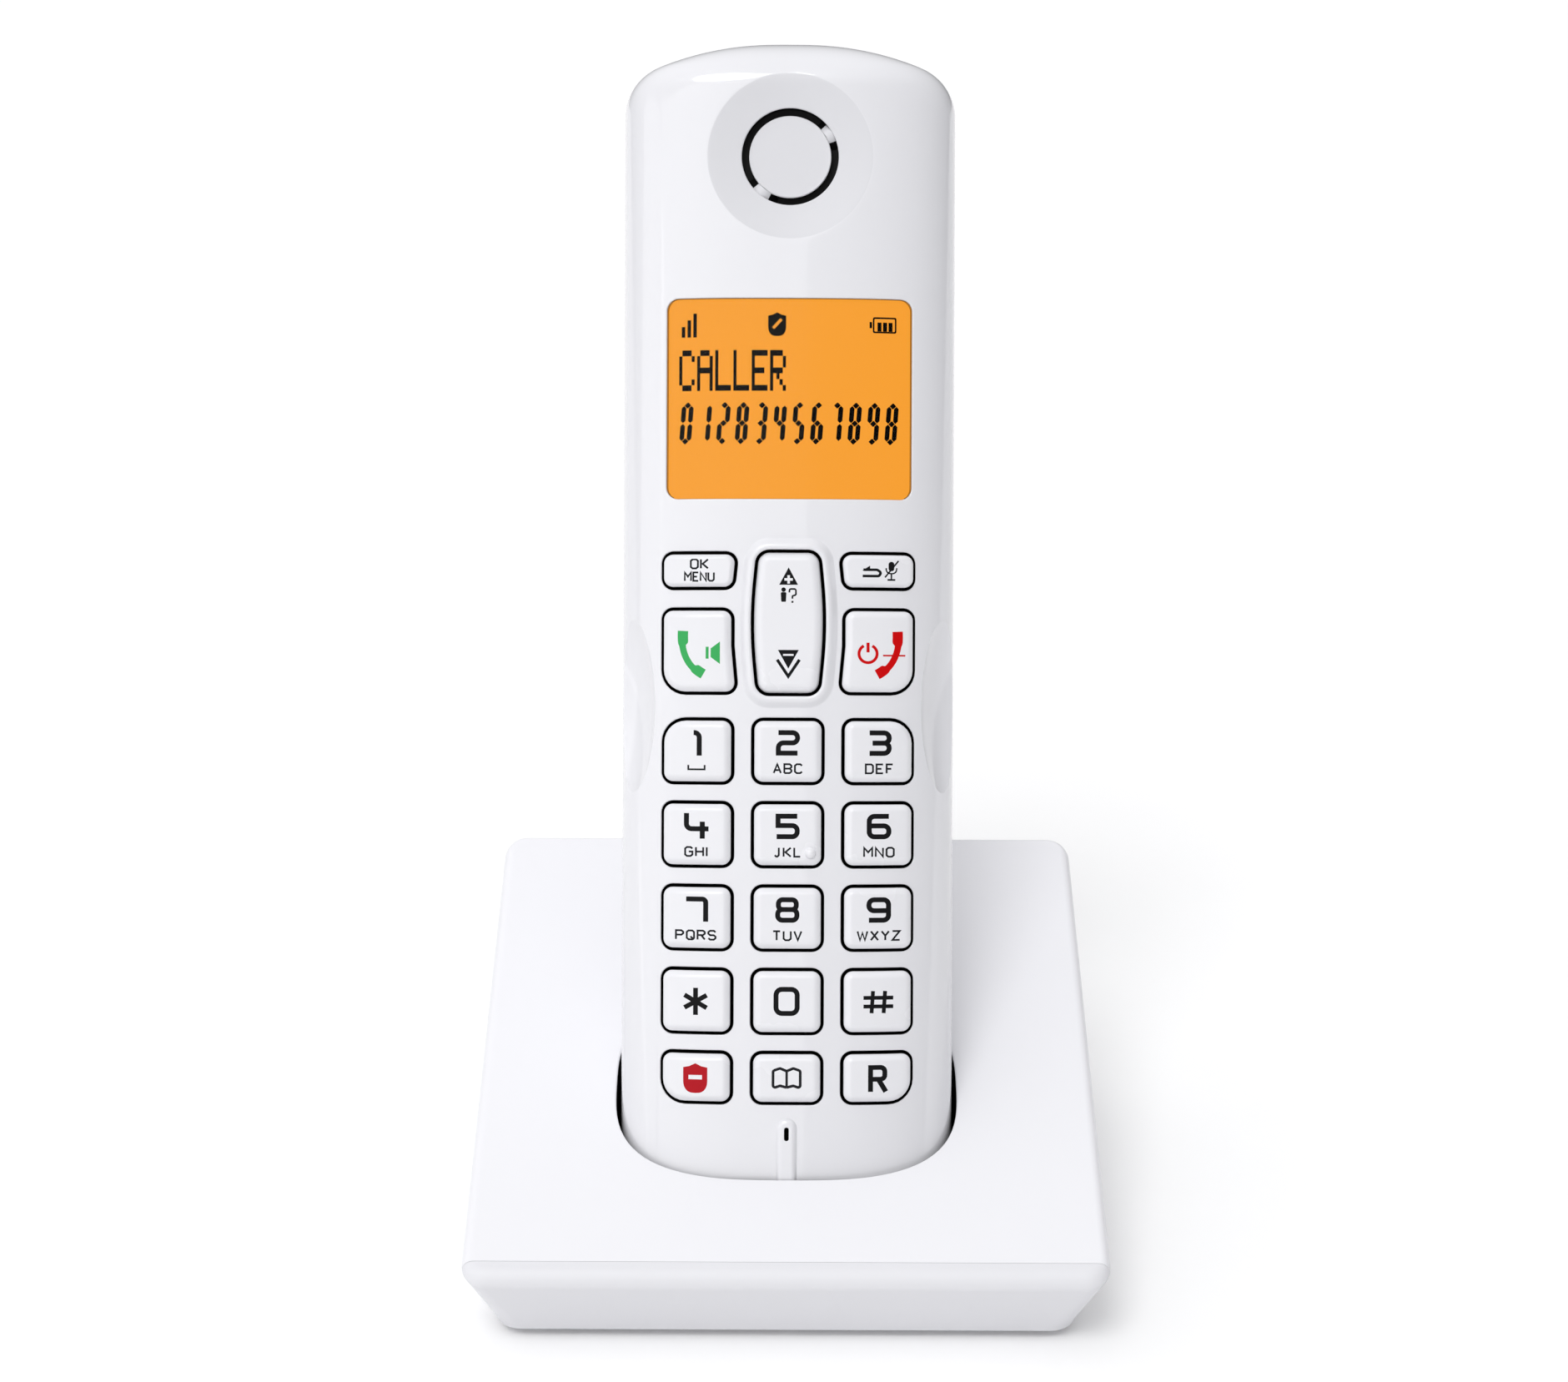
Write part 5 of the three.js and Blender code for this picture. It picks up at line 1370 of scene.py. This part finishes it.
def base_grid():
    edge, outward = plan_ring(BASE_W, BASE_FRONT, BASE_BACK, BASE_R)
    foot, _ = plan_ring(FOOT_W, FOOT_FRONT, FOOT_BACK, FOOT_R)
    ahead = outward[:, 1]
    radius = SIDE_EDGE + (NOSE_EDGE - SIDE_EDGE) * np.clip(-ahead, 0, 1) ** 1.5
    radius = radius + (BACK_EDGE - SIDE_EDGE) * np.clip(ahead, 0, 1) ** 1.5
    rings = []
    for k in range(9):
        angle = math.pi / 2 * k / 8
        plan = edge - outward * (radius * (1 - math.sin(angle)))[:, None]
        rings.append(np.column_stack([plan, top_plane(plan[:, 1]) - radius * (1 - math.cos(angle))]))
    high = rings[-1]
    low = np.column_stack([foot, np.full(len(foot), BASE_BOTTOM + 0.9)])
    rings += [high + (low - high) * t for t in (0.04, 0.12, 0.25, 0.4, 0.55, 0.7, 0.85, 0.95)]
    for k in range(6):
        angle = math.pi / 2 * k / 5
        plan = foot - outward * 0.9 * (1 - math.cos(angle))
        rings.append(np.column_stack([plan, np.full(len(foot), BASE_BOTTOM + 0.9 * (1 - math.sin(angle)))]))
    return np.array(rings)


GRID = base_grid()
GRID_ROWS, GRID_COLUMNS = GRID.shape[:2]
GRID_NORMALS = unit(np.cross(np.roll(GRID, -1, 1) - np.roll(GRID, 1, 1), np.gradient(GRID, axis=0)))
TOP_NORMAL = unit(np.array([0, -SLOPE, 1.0]))
GRID_NORMALS *= np.sign((GRID_NORMALS * (GRID - [0, 0, 10])).sum(-1, keepdims=True).mean())
GRID_NORMALS[0] = TOP_NORMAL


def at_grid(table, spots):
    """The table's value at places (i, k) between its rows and columns."""
    i, k = spots[:, 0], np.clip(spots[:, 1], 0, GRID_ROWS - 1)
    i0, k0 = np.floor(i).astype(int), np.minimum(np.floor(k).astype(int), GRID_ROWS - 2)
    across, down = (i - i0)[:, None], (k - k0)[:, None]
    a, b = table[k0, i0 % GRID_COLUMNS], table[k0, (i0 + 1) % GRID_COLUMNS]
    c, d = table[k0 + 1, i0 % GRID_COLUMNS], table[k0 + 1, (i0 + 1) % GRID_COLUMNS]
    return (a * (1 - across) + b * across) * (1 - down) + (c * (1 - across) + d * across) * down


def row_at(i, z):
    """The row where the wall at column i is at height z."""
    low, high = np.full(len(i), 8.0), np.full(len(i), GRID_ROWS - 6.0)
    for _ in range(30):
        middle = (low + high) / 2
        above = at_grid(GRID, np.stack([i, middle], 1))[:, 2] > z
        low, high = np.where(above, middle, low), np.where(above, high, middle)
    return low


def column_at(k, y, left):
    """The column on the left or right side where row k passes the depth y near the front."""
    ys = at_grid(GRID, np.stack([np.arange(GRID_COLUMNS + 1.0), np.full(GRID_COLUMNS + 1, k)], 1))[:, 1]
    front = (ys < y).nonzero()[0]
    i = front[0] if left else front[-1] + 1
    a, b = ys[i - 1], ys[i]
    return i - 1 + (y - a) / (b - a)


def seam_line(y, z, left):
    """The seam down one front corner: places from the top edge down to height z."""
    line = []
    for k in np.concatenate([np.arange(0, 8, 1.0), np.arange(8, GRID_ROWS - 6, 0.25)]):
        i = column_at(k, y, left)
        spot = np.array([[i, k]])
        if at_grid(GRID, spot)[0, 2] < z:
            break
        line.append((i, k))
    low, high = line[-1][1], k
    for _ in range(30):
        middle = (low + high) / 2
        i = column_at(middle, y, left)
        above = at_grid(GRID, np.array([[i, middle]]))[0, 2] > z
        low, high = (middle, high) if above else (low, middle)
    line.append((i, low))
    return line


def level_line(z, i_from, i_to):
    """Places along the wall at height z, from one column to another."""
    whole = np.arange(math.ceil(i_from + 0.02), math.floor(i_to - 0.02) + 1, 1.0)
    columns = np.concatenate([[i_from], whole, [i_to]])
    return list(zip(columns, row_at(columns, z)))


def add_side(skin, loop, holes=()):
    spots = grid_spots(np.arange(0, GRID_COLUMNS + 1.0), np.arange(0, GRID_ROWS, 1.0))
    points, triangles = fill(np.array(loop), holes, (), spots, 0.12)
    normal = unit(at_grid(GRID_NORMALS, points))
    skin.add(at_grid(GRID, points), normal, triangles[:, ::-1] if SIDE_FLIP else triangles,
             inward=-normal * WALL, group="side")


def side_flip():
    """Whether a triangle anticlockwise in (i, k) faces inwards."""
    a, b, c = GRID[10, 0], GRID[10, 1], GRID[11, 0]
    return float(np.cross(b - a, c - a) @ GRID_NORMALS[10, 0]) < 0


SIDE_FLIP = side_flip()


def rear_place(points):
    """Places (i, k) of points drawn in x and z on the back wall."""
    spacing = GRID[13, 0, 0] - GRID[13, 1, 0]
    spots = np.stack([(GRID[13, 0, 0] - points[:, 0]) / spacing, np.full(len(points), 13.0)], 1)
    for _ in range(12):
        here = at_grid(GRID, spots)
        di = at_grid(GRID, spots + [0.01, 0]) - here
        dk = at_grid(GRID, spots + [0, 0.01]) - here
        error = points - here[:, [0, 2]]
        a, b, c, d = di[:, 0] / 0.01, dk[:, 0] / 0.01, di[:, 2] / 0.01, dk[:, 2] / 0.01
        det = a * d - b * c
        spots = spots + np.stack([(d * error[:, 0] - b * error[:, 1]) / det,
                                  (a * error[:, 1] - c * error[:, 0]) / det], 1) * 0.9
        spots[:, 0] = np.clip(spots[:, 0], -20, 12)
        spots[:, 1] = np.clip(spots[:, 1], 8.2, GRID_ROWS - 6.2)
    return spots


def oval(grow, count=120):
    """The pocket's section: the handset's own, grown."""
    s = np.linspace(0, 2 * BACK_S, count, endpoint=False) + BACK_S
    s = (s + BACK_S) % (2 * BACK_S) - BACK_S
    x = np.sign(s) * np.interp(np.abs(s), TABLE_S, TABLE_X)
    return np.stack([x * (HALF_W + grow), np.interp(np.abs(s), TABLE_S, TABLE_Y) * (HALF_D + grow)], 1)


def seat_points(section, height):
    """Points of a section in the handset's frame, in the base's frame."""
    seat = np.array(SEAT_IN_BASE)
    local = np.column_stack([section, np.broadcast_to(height, len(section))])
    return local @ seat[:3, :3].T + seat[:3, 3]


def on_top(section):
    """Where straight lines up from a section meet the base's sloping top."""
    start = seat_points(section, 0.0)
    way = np.array(SEAT_IN_BASE)[:3, 2]
    t = (top_plane(start[:, 1]) - start[:, 2]) / (way[2] - way[1] * SLOPE)
    return start + t[:, None] * way, way


def pocket(skin):
    """The pocket that the handset stands in. Gives back the loop where it meets the top."""
    outer_loop, way = on_top(oval(POCKET_GROW + POCKET_LIP))
    rings = []
    for k in range(7):
        angle = math.pi / 2 * k / 6
        ring, _ = on_top(oval(POCKET_GROW + POCKET_LIP * (1 - math.sin(angle))))
        rings.append(ring - way * POCKET_LIP * (1 - math.cos(angle)))
    turn = np.array(SEAT_IN_BASE)[:3, :3]
    section_out = unit(oval(POCKET_GROW + 0.1) - oval(POCKET_GROW))
    away = np.column_stack([section_out, np.zeros(len(section_out))]) @ turn.T * POCKET_WALL
    down = np.broadcast_to(-TOP_NORMAL * TOP_WALL, away.shape)
    # the top's own skin adds the depth at the lip's outer ring, and the wall's adds it at the last
    lip_inward = np.concatenate([away] + [away + down] * 5 + [down])
    skin.rings(rings, starts=TOP_NORMAL, inward=lip_inward, group="lip")
    floor_ring = seat_points(oval(POCKET_GROW), POCKET_FLOOR)
    walls = [rings[-1] + (floor_ring - rings[-1]) * t for t in (0, 0.3, 0.7, 1)]
    # the pocket's walls take the black: painted shade in the gap round the handset
    skin.rings(walls, 1, inward=away, group="pocket wall")
    slots = [box_outline(side * 9.0, 6.0, 4.2, 4.6, 0.5, step=1.0, arc=3)[0] for side in (-1, 1)]
    section = oval(POCKET_GROW)
    spots = grid_spots(np.arange(-23, 24, 4.0), np.arange(-12, 13, 4.0))
    points, triangles = fill(section, slots, (), spots, 1.0)
    up = turn[:, 2]
    # the pocket's floor is black too, as painted shade
    skin.add(seat_points(points, POCKET_FLOOR), up, triangles, 1, -up * POCKET_WALL, "pocket floor")
    return outer_loop


def hole_in_back(skin, x, z, width, height, radius, count=None):
    """An opening in the back wall: its loop of places, after adding its rounded edge."""
    if count:
        shape = circle(x, z, radius, count)
    else:
        shape = box_outline(x, z, width, height, radius, step=1.0, arc=5)
    loop = rear_place(grown(shape, 0.25))
    rings = []
    for k in range(4):
        angle = math.pi / 2 * k / 3
        spots = rear_place(grown(shape, 0.25 * (1 - math.sin(angle))))
        rings.append(at_grid(GRID, spots) - [0, 0.25 * (1 - math.cos(angle)), 0])
    skin.rings([ring[::-1] for ring in rings], starts=unit(at_grid(GRID_NORMALS, loop))[::-1],
               inward=[0, -WALL, 0], group="side")
    return loop


def wall_row(column, z):
    """The row of the outside wall that lies at height z, at one column."""
    return row_at(np.full(1, float(column)), z)[0]


def top_cover():
    skin = Skin()
    y, z = SEAM_Y + GROOVE, SKIRT_Z + GROOVE
    left, right = seam_line(y, z, True), seam_line(y, z, False)
    holes = [hole_in_back(skin, side * 20.0, 13.3, 9.8, 6.6, 0.5) for side in (-1, 1)]
    holes.append(hole_in_back(skin, 0, 15.0, 0, 0, 4.35, 48))
    # the openings that lie left of the starting column are drawn at the other end of the wall
    up = [(0.0, k) for k in np.arange(math.floor(wall_row(0, z)), 0, -1.0)]
    down = [(float(GRID_COLUMNS), k) for k in np.arange(1, math.floor(wall_row(GRID_COLUMNS, z)) + 1.0)]
    left_loop = ([(i, 0.0) for i in np.arange(0, math.floor(left[0][0]) + 1.0)] + left
                 + level_line(z, 0, left[-1][0])[::-1][1:] + up)
    right_loop = ([(i, 0.0) for i in np.arange(math.ceil(right[0][0]), GRID_COLUMNS + 1.0)] + down
                  + level_line(z, right[-1][0], GRID_COLUMNS)[::-1] + right[::-1][1:])
    ends = [hole + [GRID_COLUMNS, 0] for hole in holes if hole[:, 0].mean() < 0]
    add_side(skin, left_loop, [hole for hole in holes if hole[:, 0].mean() > 0])
    add_side(skin, right_loop, ends)

    mouth = pocket(skin)
    whole = np.concatenate([np.arange(0, math.floor(left[0][0]) + 1.0), [left[0][0]]])
    first = at_grid(GRID, np.stack([whole, np.zeros(len(whole))], 1))
    whole = np.concatenate([[right[0][0]], np.arange(math.ceil(right[0][0]), GRID_COLUMNS)])
    last = at_grid(GRID, np.stack([whole, np.zeros(len(whole))], 1))
    seam = first[-1] + (last[0] - first[-1]) * np.linspace(0, 1, 40)[1:-1, None]
    edge = np.concatenate([first, seam, last])
    spots = grid_spots(np.arange(-44, 45, 3.0), np.arange(-36, 42, 3.0))
    points, triangles = fill(edge[:, :2], [mouth[:, :2]], (), spots, 0.9)
    skin.add(np.column_stack([points, top_plane(points[:, 1])]), TOP_NORMAL, triangles,
             inward=-TOP_NORMAL * TOP_WALL, group="top")
    return skin


def pit(skin, shape, depth):
    """A recess in the underside."""
    points, outward = shape
    rim = np.column_stack([points, np.full(len(points), BASE_BOTTOM)])
    roof = rim + [0, 0, depth]
    away = np.column_stack([outward, np.zeros(len(points))])
    skin.rings([rim[::-1], roof[::-1]], inward=away[::-1] * 1.2, group="pit")
    flat, triangles = fill(points)
    skin.add(np.column_stack([flat, np.full(len(flat), BASE_BOTTOM + depth)]), [0, 0, -1], triangles[:, ::-1],
             inward=[0, 0, 1.2], group="roof")


def bottom_housing():
    skin = Skin()
    y, z = SEAM_Y - GROOVE, SKIRT_Z - GROOVE
    left, right = seam_line(y, z, True), seam_line(y, z, False)
    between = np.arange(math.ceil(left[0][0]), math.floor(right[0][0]) + 1.0)
    top = np.concatenate([[left[0][0]], between, [right[0][0]]])
    last_row = GRID_ROWS - 1.0
    down = [(float(GRID_COLUMNS), k) for k in np.arange(math.ceil(wall_row(GRID_COLUMNS, z)), last_row + 1)]
    up = [(0.0, k) for k in np.arange(last_row - 1, math.ceil(wall_row(0, z)) - 0.5, -1.0)]
    loop = ([(i, 0.0) for i in top] + right[1:] + level_line(z, right[-1][0], GRID_COLUMNS)[1:] + down
            + [(i, last_row) for i in np.arange(GRID_COLUMNS - 1, -1, -1.0)] + up
            + level_line(z, 0, left[-1][0])[:-1] + left[::-1][:-1])
    add_side(skin, loop)
    front = at_grid(GRID, np.stack([top, np.zeros(len(top))], 1))
    seam = front[-1] + (front[0] - front[-1]) * np.linspace(0, 1, 40)[1:-1, None]
    strip = np.concatenate([front, seam])
    points, triangles = fill(strip[:, :2])
    skin.add(np.column_stack([points, top_plane(points[:, 1])]), TOP_NORMAL, triangles,
             inward=-TOP_NORMAL * TOP_WALL, group="top")
    feet = [circle(x * 32.0, y, 4.8, 40) for x in (-1, 1) for y in (-27.0, 32.0)]
    screws = [circle(x * 36.0, 2.0, 3.1, 32) for x in (-1, 1)]
    sole = GRID[-1][:, :2]
    points, triangles = fill(sole, [shape[0] for shape in feet + screws], (),
                             grid_spots(np.arange(-40, 41, 5.0), np.arange(-34, 41, 5.0)), 1.5)
    skin.add(np.column_stack([points, np.full(len(points), BASE_BOTTOM)]), [0, 0, -1], triangles[:, ::-1],
             inward=[0, 0, TOP_WALL], group="sole")
    for shape in feet:
        pit(skin, shape, 0.8)
    for shape in screws:
        pit(skin, shape, 2.85)
    return skin


def turned(profile_points, count, matrix, name, materials):
    """A solid turned round Z from (radius, height) points, from the bottom middle to the top middle."""
    skin = Skin()
    angle = np.linspace(0, 2 * math.pi, count, endpoint=False)
    rings = [np.stack([r * np.cos(angle), r * np.sin(angle), np.full(count, h)], 1)
             for r, h in profile_points]
    skin.rings(rings)
    return skin.build(name, materials, matrix)


# The top cover is a lighter white as painted light, and its pocket is black as painted shade.
piece = top_cover().build("base_cover", [cover_lit_white, rubber_and_shade_black], BASE)
finish_piece(piece, "base", "base_cover", "top_cover")
# The lower housing is a darker white as painted shade.
piece = bottom_housing().build("base_tray", [lower_shaded_white], BASE)
finish_piece(piece, "base", "base_lower", "bottom_housing")

FOOT_PROFILE = [(0.001, 0.0), (2.2, 0.0), (3.6, 0.02), (4.1, 0.1), (4.4, 0.35), (4.5, 0.7),
                (4.5, 1.78), (0.001, 1.8)]
FOOT_PLACES = (("front_left", -32.0, -27.0), ("front_right", 32.0, -27.0), ("rear_left", -32.0, 32.0),
               ("rear_right", 32.0, 32.0))
for name, x, y in FOOT_PLACES:
    piece = turned(FOOT_PROFILE, 40, BASE @ Matrix.Translation((x, y, 0)), "pad_" + name, [grey_rubber])
    finish_piece(piece, "base", "rubber_foot", "foot_" + name)

BUTTON_PROFILE = [(0.001, 0.0), (5.3, 0.0), (5.3, 1.0), (4.0, 1.15), (4.0, 3.9), (3.92, 4.2),
                  (3.7, 4.42), (3.4, 4.5), (3.0, 4.46), (2.2, 4.3), (1.2, 4.18), (0.001, 4.15)]
AT_BACK = BASE @ Matrix.Translation((0, 37.25, 15)) @ Matrix.Rotation(-math.pi / 2, 4, "X")
piece = turned(BUTTON_PROFILE, 48, AT_BACK, "page_cap", [page_grey])
finish_piece(piece, "page_button", "page_button", "page_button")

# ---------------------------------------------------------------------------------------------
# Finishes for the CAD's own pieces that stay
# ---------------------------------------------------------------------------------------------

KEPT = {
    "key_mat": rubber_and_shade_black, "main_board": board_green, "base_board": board_green, "earpiece_felt": felt,
    "earpiece_speaker": black_plastic, "ringer_speaker": black_plastic, "microphone": felt,
    "lcd_module": black_plastic, "line_jack": black_plastic, "power_jack": black_plastic,
    "battery_left": sleeve_green, "battery_right": sleeve_green, "page_button": page_grey,
}
BY_WORD = {"terminal": nickel, "jumper": nickel, "contact": nickel, "plate": nickel, "screw": steel,
           "foot": grey_rubber}
for name, node in frame["nodes"].items():
    made = KEPT.get(name)
    if made is None:
        # pieces not listed take the lower housing's darker white, which is painted shade
        made = next((look for word_in, look in BY_WORD.items() if word_in in name), lower_shaded_white)
    node.data.materials.clear()
    node.data.materials.append(made)

# ---------------------------------------------------------------------------------------------
# Floor, light and camera
# ---------------------------------------------------------------------------------------------

scene = bpy.context.scene
scene.view_settings.view_transform = "Standard"
scene.view_settings.look = "None"


def studio_sky(level, slope):
    """Soft light from all round, brighter the further a direction lies along the slope."""
    world = bpy.data.worlds.new("studio")
    world.use_nodes = True
    nodes, links = world.node_tree.nodes, world.node_tree.links
    where = nodes.new("ShaderNodeTexCoord")
    share = nodes.new("ShaderNodeVectorMath")
    share.operation = "DOT_PRODUCT"
    share.inputs[1].default_value = slope
    links.new(where.outputs["Generated"], share.inputs[0])
    total = nodes.new("ShaderNodeMath")
    total.inputs[1].default_value = level
    links.new(share.outputs["Value"], total.inputs[0])
    least = nodes.new("ShaderNodeMath")
    least.operation = "MAXIMUM"
    least.inputs[1].default_value = 0.02
    links.new(total.outputs[0], least.inputs[0])
    links.new(least.outputs[0], nodes["Background"].inputs["Strength"])
    nodes["Background"].inputs["Color"].default_value = (0.99, 0.99, 1.0, 1)
    scene.world = world


def floor():
    mesh = bpy.data.meshes.new("floor")
    half = 6.0
    corners = [(-half, -half, 0), (half, -half, 0), (half, half, 0), (-half, half, 0)]
    mesh.from_pydata(corners, [], [(0, 1, 2, 3)])
    piece = bpy.data.objects.new("floor", mesh)
    scene.collection.objects.link(piece)
    paper = material("floor_paper", (0.96, 0.96, 0.962), 0.75, grain=0.01, grain_size=0.6, tint=0.004,
                     Emission_Color=(1, 1, 1, 1), Emission_Strength=0.05)
    mesh.materials.append(paper)


def softbox(name, place, aim, width, height, power):
    """A soft rectangular light that only shows in reflections, placed in the handset's frame."""
    data = bpy.data.lights.new(name, "AREA")
    data.shape = "RECTANGLE"
    data.size, data.size_y, data.energy = width, height, power
    light = bpy.data.objects.new(name, data)
    scene.collection.objects.link(light)
    light.location = HANDSET @ Vector(place)
    light.rotation_mode = "QUATERNION"
    light.rotation_quaternion = (HANDSET @ Vector(aim) - light.location).to_track_quat("-Z", "Y")
    light.visible_diffuse = False


def lamp(strength, toward, spread):
    """A broad lamp far away, shining from the given direction with soft-edged shadows."""
    data = bpy.data.lights.new("lamp", "SUN")
    data.energy, data.angle = strength, math.radians(spread)
    light = bpy.data.objects.new("lamp", data)
    scene.collection.objects.link(light)
    light.rotation_mode = "QUATERNION"
    light.rotation_quaternion = Vector(toward).to_track_quat("Z", "Y")


floor()
lamp(1.0, (-0.26, -0.62, 1.0), 26)
studio_sky(0.08, (-0.27, 0.03, 1.05))
softbox("window_left", (-560, -900, 75), (-560, 0, 75), 1.16, 0.9, 3.6)
softbox("window_side", (-1140, -490, 75), (0, -490, 75), 0.82, 0.9, 2.2)

camera_data = bpy.data.cameras.new("camera")
camera_data.sensor_width = 36
camera_data.lens = 67.0
camera_data.clip_start, camera_data.clip_end = 0.01, 20
camera = bpy.data.objects.new("camera", camera_data)
scene.collection.objects.link(camera)
AXES = Matrix((SIDE, LONG, -DEEP)).transposed().to_4x4()
camera.matrix_world = (Matrix.Translation(HANDSET @ Vector((-0.60, -433.0, 74.9))) @ AXES
                       @ Matrix.Rotation(math.radians(0.23), 4, "Z"))
scene.camera = camera
